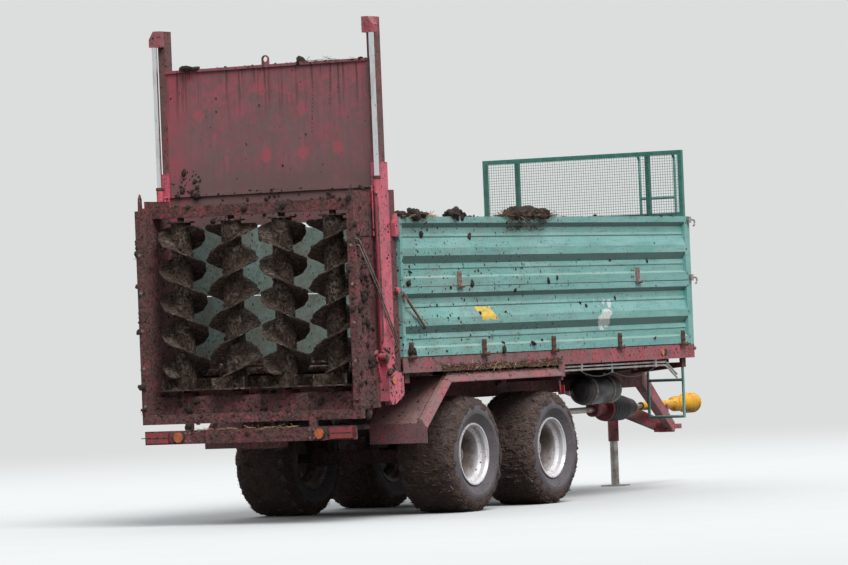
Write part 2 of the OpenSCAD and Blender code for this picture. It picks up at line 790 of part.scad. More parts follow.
module fender() {
    t = fender_t;
    zo = fender_edge_z;
    flap_x = fender_x0 - slope_x;
    color(steel_red) {
        fender_sheet();
        fender_plate(flap_x - 3, flap_x + 3, -slope_z, zo - slope_z - 110);
        fender_plate(fender_x1 - 8, fender_x1 - 2, 0, zo - 40);
        along_y(fender_y1 - 42, fender_y1 - 34) polygon([[fender_x1 - 10, zo], [fender_x1 + 6, zo],
            [fender_x1 + 20, zo - 70], [fender_x1 + 20, zo - 156], [fender_x1 - 4, zo - 60]]);
        block(fender_x1 - 30, fender_x1 + 65, web_in, web_out, zo - 14, sill_low - seat);
        for (x = [fender_x0 + 60, axle_mid_x, fender_x1 - 60])
            block(x - 25, x + 25, rail_in + rail_w, fender_y0 + 60, fender_z - t - 30, fender_z - 2);
    }
}

module axles() {
    beam = tyre_mid - 238;
    color("#5d3a38") for (x = [axle_rear_x, axle_front_x]) {
        block(x - axle_side / 2, x + axle_side / 2, -beam, beam, tyre_r - axle_side / 2, tyre_r + axle_side / 2);
        rod_y(x, -tyre_mid - 40, tyre_mid + 40, tyre_r, stub_r);
    }
}

// Leaf springs that join the two axles of a side and rock about the middle
leaf_t = 12;
leaves = 6;
spring_r = 1320;
spring_y = rail_in + rail_w / 2;
pad_z = tyre_r + axle_side / 2;

module leaf_springs() {
    end_angle = asin(axle_gap / 2 / spring_r);
    zc = pad_z + 4 - spring_r * cos(1.06 * end_angle);
    color("#4b4644") both_sides() {
        for (i = [0 : leaves - 1]) {
            a = end_angle * (1.06 - i * 0.15);
            translate([axle_mid_x, spring_y + 35, zc]) rotate([90, 0, 0]) rotate([0, 0, 90 - a])
                rotate_extrude(angle = 2 * a, $fn = 200) translate([spring_r + i * leaf_t, 0]) square([leaf_t, 70]);
        }
        for (x = [axle_rear_x, axle_front_x]) {
            block(x - 66, x + 66, spring_y - 40, spring_y + 40, pad_z, pad_z + 30);
            block(x - 66, x + 66, spring_y - 40, spring_y + 40, pad_z - axle_side - 12, pad_z - axle_side);
            for (u = [-58, 58]) for (v = [-30, 30]) rod_z(x + u, spring_y + v, pad_z - axle_side - 12, pad_z + 1, 6);
        }
        top = zc + spring_r + leaves * leaf_t;
        along_y(spring_y - 40, spring_y + 40) polygon([[axle_mid_x - 60, top - 3], [axle_mid_x + 60, top - 3],
            [axle_mid_x + 150, rail_bottom], [axle_mid_x - 150, rail_bottom]]);
    }
}

module tyre() {
    w = tyre_w / 2;
    h = rim_w / 2 - seat;
    r = tyre_r - tread_h;
    b = rim_r + seat;
    // One half of the section: columns are radius, distance from the middle
    outer = [[b, h], [rim_r + 24, h], [rim_r + 90, w], [r - 90, w], [r - 38, w - 14], [r - 10, w - 44], [r, w - 90],
        [r, 24], [tyre_r - 3, 20]];
    inner = [[r - 44, w - 70], [rim_r + 40, h - 50], [b, h - 28]];
    section = concat(outer, [for (k = [8 : -1 : 0]) [outer[k][0], -outer[k][1]]],
        [for (k = [2 : -1 : 0]) [inner[k][0], -inner[k][1]]], inner);
    rotate([90, 0, 0]) {
        rotate_extrude($fn = 96) polygon(section);
        tread_rows(r, w);
    }
}

// Two rows of slanted tread blocks, set half a step apart
module tread_rows(r, w) {
    l = 52;
    wide = 150;
    for (s = [-1, 1]) for (i = [0 : tread_blocks - 1]) rotate([0, 0, (i + s / 4) * 360 / tread_blocks])
        translate([r - 16, 0, s * (w - 115)]) rotate([s * 20, 0, 0]) translate([0, -l / 2, -wide / 2])
            cube([tread_h + 13, l, wide]);
}

// Rim, drum and hub, with the outer side at +Y
module rim() {
    h = rim_w / 2;
    // One half of the section: columns are radius, distance from the middle
    dish = [[rim_r - 30, h - 60], [rim_r - 8, h - 40], [rim_r - 6, h - 6], [rim_r + 2, h + 4], [rim_r + 8, h + 12],
        [rim_r + 18, h + 12], [rim_r + 18, h], [rim_r, h], [rim_r, h - 30], [rim_r - 22, h - 54]];
    section = concat(dish, [for (k = [9 : -1 : 0]) [dish[k][0], -dish[k][1]]]);
    rotate([-90, 0, 0]) difference() {
        union() {
            rotate_extrude($fn = 96) polygon(section);
            translate([0, 0, -10]) cylinder(r = rim_r - 25, h = 12);
            translate([0, 0, -90]) cylinder(r = 150, h = 81);
            cylinder(r = 75, h = 70);
            cylinder(r = 48, h = 92);
        }
        translate([0, 0, -91]) cylinder(r = stub_r + pin_clear, h = 91 + 45);
    }
}

module wheel_tyre(x, s) {
    color("#3a3532") translate([x, s * tyre_mid, tyre_r]) tyre();
}

module wheel_rim(x, s) {
    color("#c9c6bf") translate([x, s * tyre_mid, tyre_r]) scale([1, s, 1]) rim();
}

jack_x = box_front + jack_reach;
jack_y = rail_in - 30;
jack_low = 380;
jack_high = 900;

module jack_tube() {
    color(steel_red) difference() {
        rod_z(jack_x, jack_y, jack_low, jack_high, jack_r);
        rod_z(jack_x, jack_y, jack_low - 1, jack_high - 5, leg_r + pin_clear);
    }
}

module jack_leg() {
    color("#8a8a8a") {
        rod_z(jack_x, jack_y, 10, jack_high - 360, leg_r);
        block(jack_x - 90, jack_x + 90, jack_y - 90, jack_y + 90, 0, 12);
    }
}

// Two arms that come together at the hitch
nose_x = box_front + hitch_reach - 150;
arm_z = rail_top - 100;

module drawbar_arm() {
    hull() {
        translate([box_front + 41, rail_in + rail_w / 2, arm_z]) cube([2, rail_w, 140], center = true);
        translate([nose_x, 38, hitch_z]) cube([2, 70, 90], center = true);
    }
}

module drawbar() {
    saddle_x = nose_x - 60;
    color(steel_red) {
        both_sides() drawbar_arm();
        block(nose_x - 120, nose_x + 20, -60, 60, hitch_z - 40, hitch_z + 40);
        block(box_front - 40, box_front + 60, -rail_in, rail_in, rail_bottom, rail_bottom + 80);
        difference() {
            block(saddle_x - 12, saddle_x + 12, -50, 50, hitch_z + 39, shaft_z);
            rod_x(saddle_x - 13, saddle_x + 13, 0, shaft_z, guard_r);
        }
        difference() {
            block(jack_x - 30, jack_x + 30, 140, jack_y, 575, 635);
            rod_z(jack_x, jack_y, 574, 636, jack_r);
        }
    }
}

module hitch_eye() {
    x = box_front + hitch_reach;
    color("#4a4a4c") difference() {
        union() {
            rod_z(x, 0, hitch_z - hitch_eye_h / 2, hitch_z + hitch_eye_h / 2, 62);
            rod_x(nose_x + 20 + seat, x - 40, 0, hitch_z, 26);
            block(nose_x + 20, nose_x + 40, -60, 60, hitch_z - 40, hitch_z + 40);
        }
        rod_z(x, 0, hitch_z - hitch_eye_h, hitch_z + hitch_eye_h, hitch_bore_r);
    }
}

shaft_back = beater_x + 75;

// Outer and inner half width of a shaft joint's forks
yoke_r = 42;
yoke_in = 31;

// Shaft from the spreading unit to the tractor, with the fork and the cross of its front joint
module drive_shaft() {
    x1 = box_front + shaft_reach;
    cross_x = x1 - 180;
    color("#8d857c") {
        rod_x(shaft_back, box_front + 240, 0, shaft_z, 25);
        rod_x(box_front + 239, x1 - 240, 0, shaft_z, shaft_r);
        rod_x(box_front + 330, box_front + 480, 0, shaft_z, 52);
        rod_x(x1 - 246, x1 - 234, 0, shaft_z, yoke_r);
        for (s = [-1, 1]) translate([0, 0, s > 0 ? shaft_z + yoke_in : shaft_z - yoke_r])
            block(x1 - 235, cross_x + 18, -18, 18, 0, yoke_r - yoke_in);
        rod_z(cross_x, 0, shaft_z - yoke_in - e, shaft_z + yoke_in + e, 10);
        rod_y(cross_x, -yoke_in, yoke_in, shaft_z, 10);
    }
}

// Front yoke, which slides onto the tractor's splined stub
module shaft_yoke() {
    x1 = box_front + shaft_reach;
    color("#8d857c") difference() {
        union() {
            rod_x(x1 - 130, x1 - 40, 0, shaft_z, 30);
            rod_x(x1 - 130, x1 - 118, 0, shaft_z, yoke_r);
            both_sides() block(x1 - 198, x1 - 119, yoke_in, yoke_r, shaft_z - 18, shaft_z + 18);
        }
        rod_x(x1 - 131, x1 - 39, 0, shaft_z, spline_r);
    }
}

module shaft_guard() {
    x1 = box_front + shaft_reach;
    color("#f2c200") translate([0, 0, shaft_z]) rotate([0, 90, 0]) rotate_extrude($fn = 64)
        polygon([[guard_r - 5, x1 - 1000], [guard_r, x1 - 1000], [guard_r, x1 - 400], [58, x1 - 380],
            [62, x1 - 200], [82, x1 - 160], [82, x1], [77, x1], [77, x1 - 158], [57, x1 - 195],
            [53, x1 - 375], [guard_r - 5, x1 - 395]]);
}

module joint_guard() {
    x0 = box_front + 190;
    color("#262626") translate([0, 0, shaft_z]) rotate([0, 90, 0]) rotate_extrude($fn = 64)
        polygon([[95, x0], [100, x0], [104, x0 + 300], [70, x0 + 480], [guard_r, x0 + 560], [guard_r - 5, x0 + 560],
            [65, x0 + 478], [99, x0 + 298]]);
}

module shaft_mounts() {
    z = shaft_z;
    color("#4d4a48") difference() {
        union() {
            for (x = [box_front + 10, axle_mid_x + 500, axle_mid_x - 500]) {
                rod_x(x - 40, x + 40, 0, z, 60);
                block(x - 25, x + 25, -60, 60, z, rail_bottom);
            }
            rod_x(box_front + 40, box_front + 185, 0, z, 45);
            rod_x(box_front + 180, box_front + 190, 0, z, 100);
        }
        rod_x(shaft_back, box_front + 200, 0, z, 25 + pin_clear);
    }
}

module air_tank() {
    x0 = box_front - 1500;
    y = -half + 313;
    z = rail_bottom + 4;
    color("#2c2f33") {
        translate([x0, y, z]) rotate([0, 90, 0]) rotate_extrude() polygon([[0, 0], [55, 6], [90, 22], [110, 50],
            [115, 80], [115, 520], [110, 550], [90, 578], [55, 594], [0, 600]]);
        for (x = [x0 + 90, x0 + 400]) block(x, x + 40, y - 20, -rail_in - rail_w, z + 90, z + 130);
    }
}

module brake_pipes() {
    y = -half + 28;
    x1 = box_front - 500;
    color("#b9b3a8") {
        for (z = [sill_low - 49, sill_low - 21]) {
            rod_x(fender_x1 + 80, x1, y, z, 8);
            translate([x1 - 3, y, z + 1.5]) rotate([0, 118, 0]) cylinder(h = 230, r = 8);
        }
        for (x = [box_front - 2000, box_front - 690]) block(x - 14, x + 14, y - 10, y + 10, sill_low - 61, sill_low);
    }
}

chassis_frame();
bolsters();
sills();
floor();
floor_chains();
floor_slats();
floor_drive();
front_wall();
guard_frame();
guard_mesh();
ladder_rails();
ladder_rungs();
lower_board();  // board_left_lower
upper_board();  // board_left_upper
mirror([0, 1, 0]) lower_board();  // board_right_lower
mirror([0, 1, 0]) upper_board();  // board_right_upper
board_latches();
rear_portal();
cylinder_barrels();
gate();
gate_rails();
cylinder_rods();
unit_sides();
unit_frame();
unit_top_beam();
beater_gearbox();
beater(0);  // beater_1
beater(1);  // beater_2
beater(2);  // beater_3
beater(3);  // beater_4
light_board();
lamps();
both_sides() fender();  // fenders
axles();
leaf_springs();
wheel_tyre(axle_rear_x, -1);  // tyre_rear_right
wheel_tyre(axle_rear_x, 1);  // tyre_rear_left
wheel_tyre(axle_front_x, -1);  // tyre_front_right
wheel_tyre(axle_front_x, 1);  // tyre_front_left
wheel_rim(axle_rear_x, -1);  // rim_rear_right
wheel_rim(axle_rear_x, 1);  // rim_rear_left
wheel_rim(axle_front_x, -1);  // rim_front_right
wheel_rim(axle_front_x, 1);  // rim_front_left
drawbar();
hitch_eye();
jack_tube();
jack_leg();
drive_shaft();
shaft_yoke();
shaft_guard();
joint_guard();
shaft_mounts();
air_tank();
brake_pipes();
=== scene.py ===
# Looks of a tandem-axle manure spreader: enamel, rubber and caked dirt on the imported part, and its small fittings
import functools
import json
import math

import bmesh
import bpy
import numpy as np
from mathutils import Matrix, Vector, noise
from mathutils.bvhtree import BVHTree


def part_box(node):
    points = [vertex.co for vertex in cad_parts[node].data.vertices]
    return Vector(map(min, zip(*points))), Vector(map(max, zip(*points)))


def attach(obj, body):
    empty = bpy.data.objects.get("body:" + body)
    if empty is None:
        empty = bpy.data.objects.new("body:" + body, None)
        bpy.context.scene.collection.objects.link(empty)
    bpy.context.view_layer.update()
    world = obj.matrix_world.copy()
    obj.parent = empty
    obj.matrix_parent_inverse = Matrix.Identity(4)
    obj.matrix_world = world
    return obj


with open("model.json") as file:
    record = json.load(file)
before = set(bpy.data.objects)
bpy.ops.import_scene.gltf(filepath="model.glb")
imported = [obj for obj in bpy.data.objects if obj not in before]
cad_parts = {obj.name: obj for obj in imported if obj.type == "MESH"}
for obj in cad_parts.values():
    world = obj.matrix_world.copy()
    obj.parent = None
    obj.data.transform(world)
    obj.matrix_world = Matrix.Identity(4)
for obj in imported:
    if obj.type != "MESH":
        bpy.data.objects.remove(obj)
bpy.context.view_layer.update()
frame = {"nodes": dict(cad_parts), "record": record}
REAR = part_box("sills")[0].x
BODY_OF = {node: body for body, nodes in frame["record"]["behaviour"]["bodies"].items() for node in nodes}


def on(x, y, z):
    """A point from its distance in front of the load box's rear end, and its Y and Z."""
    return Vector((REAR + x, y, z))


# Camera: picture in pixels, focal length in pixels, place in metres, heading, rise and roll in radians
PICTURE = (848, 565)
FOCAL_PIXELS = 5294.9
CAMERA_PLACE = on(-34.0845, -19.882, 1.386)
CAMERA_HEADING = 0.5026
CAMERA_RISE = 0.0089
CAMERA_ROLL = -0.0405
SENSOR_MM = 36.0

# Colours of the finishes
FRESH_RED = "#ab3342"
FADED_RED = "#b95563"
TEAL = "#66a19a"
CHALKY_TEAL = "#8fbab5"
GUARD_GREEN = "#2f6f64"
DUST = "#8c7269"
GREY_DUST = "#84696a"
MUD = "#584744"
DARK_MUD = "#332825"
MANURE = "#251c1a"
STRAW = "#8f735b"
RUST = "#5f3423"
BACKDROP = "#dcdedd"


def lin(code):
    """Turns an sRGB hex colour to linear RGBA."""
    parts = [int(code[i:i + 2], 16) / 255 for i in (1, 3, 5)]
    return [c / 12.92 if c <= 0.04045 else ((c + 0.055) / 1.055) ** 2.4 for c in parts] + [1.0]


def per(mm):
    """The scale of a texture whose features are about this many millimetres across."""
    return 1000.0 / mm


def add(tree, kind, settings=None, inputs=None):
    """Adds a node. Settings are its own options; inputs are its sockets' values, or the outputs that feed them."""
    made = tree.nodes.new("ShaderNode" + kind)
    for key, value in (settings or {}).items():
        setattr(made, key, value)
    for key, value in (inputs or {}).items():
        if isinstance(value, bpy.types.NodeSocket):
            tree.links.new(value, made.inputs[key])
        else:
            made.inputs[key].default_value = value
    return made


# Masks: each returns a function that builds its nodes in a material's tree and gives back a 0 to 1 output


# How far the noise's value lies from its middle over most of a surface
NOISE_REACH = 0.34


def patches(mm, share, soft=0.1, stretch=(1, 1, 1), detail=5.0):
    """Clouds about mm across that cover this share of the surface; a stretch under 1 draws them out on that axis."""
    def mask(tree, coords):
        laid = add(tree, "Mapping", {}, {"Vector": coords.outputs["Object"], "Scale": stretch})
        cloud = add(tree, "TexNoise", {}, {"Vector": laid.outputs[0], "Scale": per(mm), "Detail": detail,
                                           "Roughness": 0.62})
        level = 0.5 + NOISE_REACH * (0.5 - share)
        return add(tree, "MapRange", {"interpolation_type": "SMOOTHSTEP"},
                   {"Value": cloud.outputs[0], "From Min": level - soft, "From Max": level + soft}).outputs[0]
    return mask


def drops(mm, share):
    """Spattered drops: ragged cells mm apart, of which this share holds a drop of its own size."""
    def mask(tree, coords):
        place = coords.outputs["Object"]
        wander = add(tree, "TexNoise", {}, {"Vector": place, "Scale": per(mm * 0.45), "Detail": 2.0})
        bent = add(tree, "VectorMath", {"operation": "MULTIPLY_ADD"},
                   {0: wander.outputs["Color"], 1: [mm * 0.0007] * 3, 2: place})
        cells = add(tree, "TexVoronoi", {}, {"Vector": bent.outputs[0], "Scale": per(mm)})
        pick = add(tree, "SeparateColor", {}, {"Color": cells.outputs["Color"]})
        size = add(tree, "MapRange", {}, {"Value": pick.outputs[0], "From Min": 1 - share, "From Max": 1.0,
                                          "To Min": 0.0, "To Max": 0.42})
        gap = add(tree, "Math", {"operation": "SUBTRACT"}, {0: size.outputs[0], 1: cells.outputs["Distance"]})
        return add(tree, "MapRange", {}, {"Value": gap.outputs[0], "From Min": 0.0, "From Max": 0.06}).outputs[0]
    return mask


def along(axis, start, end, mirrored=False):
    """Grows from 0 at start to 1 at end on one axis, in metres; mirrored reads both sides alike."""
    def mask(tree, coords):
        split = add(tree, "SeparateXYZ", {}, {"Vector": coords.outputs["Object"]})
        value = split.outputs[axis]
        if mirrored:
            value = add(tree, "Math", {"operation": "ABSOLUTE"}, {0: value}).outputs[0]
        return add(tree, "MapRange", {"interpolation_type": "SMOOTHSTEP"},
                   {"Value": value, "From Min": start, "From Max": end}).outputs[0]
    return mask


def spots_at(places, radius):
    """Round ragged spots. Columns of places: Y, Z, in metres."""
    def mask(tree, coords):
        rough = add(tree, "TexNoise", {}, {"Vector": coords.outputs["Object"], "Scale": per(30), "Detail": 3.0})
        flat = add(tree, "VectorMath", {"operation": "MULTIPLY"}, {0: coords.outputs["Object"], 1: (0, 1, 1)})
        value = None
        for y, z in places:
            far = add(tree, "VectorMath", {"operation": "DISTANCE"}, {0: flat.outputs[0], 1: (0, y, z)})
            value = far.outputs["Value"] if value is None else add(
                tree, "Math", {"operation": "MINIMUM"}, {0: value, 1: far.outputs["Value"]}).outputs[0]
        bent = add(tree, "Math", {"operation": "MULTIPLY_ADD"}, {0: rough.outputs[0], 1: radius * 0.9, 2: value})
        return add(tree, "MapRange", {}, {"Value": bent.outputs[0], "From Min": radius * 1.6,
                                          "From Max": radius * 1.2}).outputs[0]
    return mask


def facing(axis, start, end):
    """Grows from 0 to 1 as the surface turns to face the way of one axis."""
    def mask(tree, coords):
        split = add(tree, "SeparateXYZ", {}, {"Vector": coords.outputs["Normal"]})
        return add(tree, "MapRange", {},
                   {"Value": split.outputs[axis], "From Min": start, "From Max": end}).outputs[0]
    return mask


def both(*masks):
    """Only where all these masks are."""
    def mask(tree, coords):
        value = masks[0](tree, coords)
        for other in masks[1:]:
            value = add(tree, "Math", {"operation": "MULTIPLY"}, {0: value, 1: other(tree, coords)}).outputs[0]
        return value
    return mask


# The wave texture's scale at which its ridges are a metre apart
WAVE_SCALE = 0.314 / 2


def ridges(mm, axis, shape="SIN"):
    """Parallel ridges mm apart across one axis."""
    def mask(tree, coords):
        wave = add(tree, "TexWave", {"wave_type": "BANDS", "bands_direction": axis, "wave_profile": shape},
                   {"Vector": coords.outputs["Object"], "Scale": per(mm) * WAVE_SCALE})
        return wave.outputs["Fac"]
    return mask


def bare_tree(owner):
    """The emptied node tree of a material or a world."""
    owner.use_nodes = True
    owner.node_tree.nodes.clear()
    return owner.node_tree


def finish(name, colour, roughness, coats=(), relief=(), **sockets):
    """A material from its ground, the films over it and its relief.

    Columns of coats: share of full cover, mask, colour, roughness. Columns of relief: mask, height in mm.
    """
    material = bpy.data.materials.new(name)
    tree = bare_tree(material)
    coords = add(tree, "TexCoord")
    shade, rough = lin(colour), roughness
    for share, mask, film, film_rough in coats:
        cover = mask(tree, coords)
        if share < 1:
            cover = add(tree, "Math", {"operation": "MULTIPLY"}, {0: cover, 1: share}).outputs[0]
        shade = add(tree, "Mix", {"data_type": "RGBA"}, {0: cover, 6: shade, 7: lin(film)}).outputs[2]
        rough = add(tree, "Mix", {"data_type": "FLOAT"}, {0: cover, 2: rough, 3: film_rough}).outputs[0]
    inputs = {"Base Color": shade, "Roughness": rough, **{k.replace("_", " "): v for k, v in sockets.items()}}
    height = None
    for mask, mm in relief:
        part = add(tree, "Math", {"operation": "MULTIPLY"}, {0: mask(tree, coords), 1: mm / 1000})
        if height:
            part = add(tree, "Math", {"operation": "ADD"}, {0: height, 1: part.outputs[0]})
        height = part.outputs[0]
    if height:
        inputs["Normal"] = add(tree, "Bump", {}, {"Height": height, "Distance": 1.0}).outputs[0]
    shader = add(tree, "BsdfPrincipled", {}, inputs)
    add(tree, "OutputMaterial", {}, {"Surface": shader.outputs[0]})
    return material


# Finishes

ORANGE_PEEL = (patches(6, 0.5, 0.3), 0.12)
DENTS = (patches(380, 0.5, 0.4, detail=1.0), 3.0)
GRIT = (patches(3, 0.5, 0.3), 0.25)


def red_enamel(name, dust=0.4, faded=0.4, spray=0.25, rust=0.16, colour=FRESH_RED, film=GREY_DUST, road=0.0,
               crust=0.0):
    """Sprayed enamel on steel sheet: a satin red gone chalky, under field dust, dried drops and a little rust.

    road is the film of road dirt towards the rear wheels, crust the share under clotted manure.
    """
    return finish(name, colour, 0.4, [
        (0.75, patches(420, faded), FADED_RED, 0.55),
        (0.85, patches(160, dust, 0.16), film, 0.92),
        (0.6, patches(36, dust, 0.1, (1, 1, 0.12)), film, 0.92),
        (1, patches(26, rust, 0.03), RUST, 0.85),
        (road, both(along(0, 0.9, -0.6), patches(150, 0.75, 0.2)), "#7b6061", 0.93),
        (0.8, both(facing(2, 0.4, 0.95), patches(70, 0.75, 0.15)), DUST, 0.95),
        (0.7, patches(130, crust, 0.2), "#4a3835", 0.95),
        (0.75, patches(24, crust * 0.7, 0.12), "#332724", 0.95),
        (1, drops(30, spray), MANURE, 0.9),
        (1, drops(11, spray), DARK_MUD, 0.9),
    ], [ORANGE_PEEL, DENTS, (drops(30, spray), 1.6), (patches(24, crust * 0.7, 0.12), 4.0)])


def teal_enamel(name, colour=TEAL, spray=0.3, soil=0.0):
    """Coil-coated enamel on rolled sheet: a satin teal with chalky wear, wash lines of dust and dried drops, and
    painted shade on its downward-facing faces.

    soil is how much of the load's smear is left on it.
    """
    return finish(name, colour, 0.34, [
        (0.7, patches(300, 0.45, 0.2, (0.35, 1, 1)), CHALKY_TEAL, 0.5),
        (0.35, patches(45, 0.3, 0.1, (0.1, 1, 1)), "#4f8481", 0.5),
        (0.35, patches(16, 0.14, 0.06, (0.06, 1, 1)), "#57706b", 0.8),
        (0.45, both(patches(120, 0.45, 0.14, (0.4, 1, 0.6)), along(0, 1.4, -2.6)), "#7b8078", 0.9),
        (0.5, both(facing(2, 0.3, 0.9), patches(60, 0.7, 0.2)), "#a3a08e", 0.9),
        # Painted shade: a deep teal on faces that turn downwards, away from the light above
        (0.85, facing(2, -0.1, -0.5), "#2d544e", 0.6),
        (soil, patches(420, 0.85, 0.3), "#5d5a50", 0.9),
        (soil * 0.6, patches(60, 0.5, 0.25, (0.6, 1, 1)), "#4a3f37", 0.95),
        (soil * 0.8, patches(14, 0.25, 0.1), "#352a25", 0.95),
        (1, patches(14, 0.03, 0.02), RUST, 0.85),
        (1, both(drops(34, spray), along(0, 3.0, -2.6)), MANURE, 0.9),
        (1, both(drops(15, spray), along(0, 3.4, -2.0)), DARK_MUD, 0.9),
    ], [ORANGE_PEEL, DENTS, (drops(34, spray), 1.5)])


# Fresh spots that clods left on the gate: columns are Y, Z
GATE_SPOTS = [(0.025, 2.728), (-0.292, 2.734), (-0.591, 2.755), (0.037, 3.226), (-0.299, 3.066), (0.6, 3.05)]
# Runs of rust below the gate's bolts: columns are Y and Z of the upper end, number of spots
RUST_RUNS = [(-0.4, 3.24, 13), (-0.553, 3.38, 11)]


def gate_enamel():
    """The gate's plate: red enamel scoured to a dull rose under a dried film, redder along its upper edge."""
    return finish("scoured_red_enamel_on_steel_plate", "#a04f5c", 0.5, [
        (0.92, both(patches(230, 0.75, 0.16), along(2, 3.5, 2.95)), "#786060", 0.92),
        (0.75, patches(34, 0.5, 0.14, (1, 1, 0.08)), "#77595a", 0.93),
        (0.7, patches(90, 0.4, 0.12), "#8a5459", 0.9),
        (0.6, patches(40, 0.3, 0.12), "#6e5c59", 0.93),
        (0.5, both(patches(75, 0.35, 0.08), along(2, 2.7, 3.3)), "#b0505e", 0.6),
        (0.85, both(along(2, 2.8, 2.4), patches(200, 0.8, 0.2)), "#6c5451", 0.94),
        (0.75, both(along(1, 0.6, 0.85), patches(160, 0.7, 0.2)), "#a34552", 0.6),
        (0.75, both(spots_at(GATE_SPOTS, 0.05), patches(22, 0.7, 0.25)), "#b04a58", 0.5),
        *[(0.8, spots_at([(y + 0.002 * k, z - 0.03 * k) for k in range(count)], 0.006), "#4c3029", 0.85)
          for y, z, count in RUST_RUNS],
        (1, both(patches(26, 0.24, 0.05, (1, 1, 0.04)), along(2, 2.9, 3.4)), "#5a3a33", 0.85),
        (1, drops(34, 0.22), MANURE, 0.9),
        (1, drops(12, 0.24), DARK_MUD, 0.9),
    ], [GRIT, DENTS, (drops(34, 0.22), 2.0)])


def tyre_rubber():
    """Moulded natural rubber: matt charcoal, with pale dust ground into its sidewalls."""
    return finish("moulded_tyre_rubber", "#4c484c", 0.7, [
        (0.85, patches(70, 0.6, 0.2), "#625c60", 0.9),
        (0.7, patches(14, 0.35, 0.08), "#565053", 0.9),
        (1, drops(16, 0.3), "#756b66", 0.95),
        (1, drops(22, 0.2), DARK_MUD, 0.95),
    ], [(patches(9, 0.5, 0.3), 0.4), (ridges(11, "Y"), 0.15)])


def wheel_enamel():
    """Stove enamel on pressed wheel discs: pale silver, turning brown deeper in the dish, with dried mud there and
    painted shade where the dish is recessed.
    """
    return finish("silver_stove_enamel_on_wheel_disc", "#d3d0d2", 0.38, [
        (0.4, patches(60, 0.3, 0.12), "#9b9594", 0.7),
        # Brown deeper in the dish: partly dried mud, partly painted shade of the recess
        (0.93, both(along(1, 0.862, 0.80, True), patches(190, 0.85, 0.2)), "#75675f", 0.93),
        (1, patches(16, 0.1, 0.03), "#6a4a38", 0.85),
        (1, drops(24, 0.12), MANURE, 0.9),
    ], [ORANGE_PEEL, (drops(24, 0.12), 1.2)], Metallic=0.15)


def caked_mud(name, colour, dark, straw_share, skin):
    """Dried field mud with chopped straw pressed in: crumbly and matt, lighter on its dry skin."""
    return finish(name, colour, 0.96, [
        (0.85, patches(60, 0.5, 0.2), dark, 0.96),
        (0.7, patches(10, 0.4, 0.12), skin, 0.97),
        (0.8, patches(5, 0.4, 0.12), DARK_MUD, 0.97),
        (0.8, patches(7, straw_share, 0.03, (0.18, 1, 1)), STRAW, 0.9),
        (0.8, patches(7, straw_share, 0.03, (1, 1, 0.18)), "#7a6852", 0.9),
    ], [(patches(14, 0.5, 0.3), 5.0), (patches(4, 0.5, 0.3), 2.0)])


def planks():
    """Impregnated softwood floor boards, worn grey-brown, with their grain along the box."""
    return finish("worn_softwood_planks", "#6f5b49", 0.85, [
        (0.7, patches(20, 0.5, 0.12, (0.03, 1, 1)), "#4d3e33", 0.9),
        (0.8, patches(150, 0.5, 0.15), DARK_MUD, 0.95),
    ], [(patches(7, 0.5, 0.2, (0.03, 1, 1)), 0.8), (ridges(140, "Y", "SAW"), 1.5)])


def scoured_steel():
    """Bare mild steel kept half bright by the manure that slides over it, brown in its corners."""
    return finish("scoured_mild_steel", "#8b827c", 0.42, [
        (0.9, patches(60, 0.55, 0.12), "#4b3b33", 0.8),
        (0.9, patches(14, 0.4, 0.06), RUST, 0.85),
        (1, drops(28, 0.4), MANURE, 0.95),
    ], [GRIT, (drops(28, 0.4), 2.0)], Metallic=0.7)


def zinc_coat():
    """Hot-dip zinc on tube: a soft grey with a faint spangle, dulled by dust."""
    return finish("hot_dip_galvanised_tube", "#a9aaa6", 0.45, [
        (0.5, drops(14, 0.9), "#8f918f", 0.38),
        (0.7, patches(80, 0.45, 0.15), DUST, 0.9),
    ], [GRIT], Metallic=0.85)


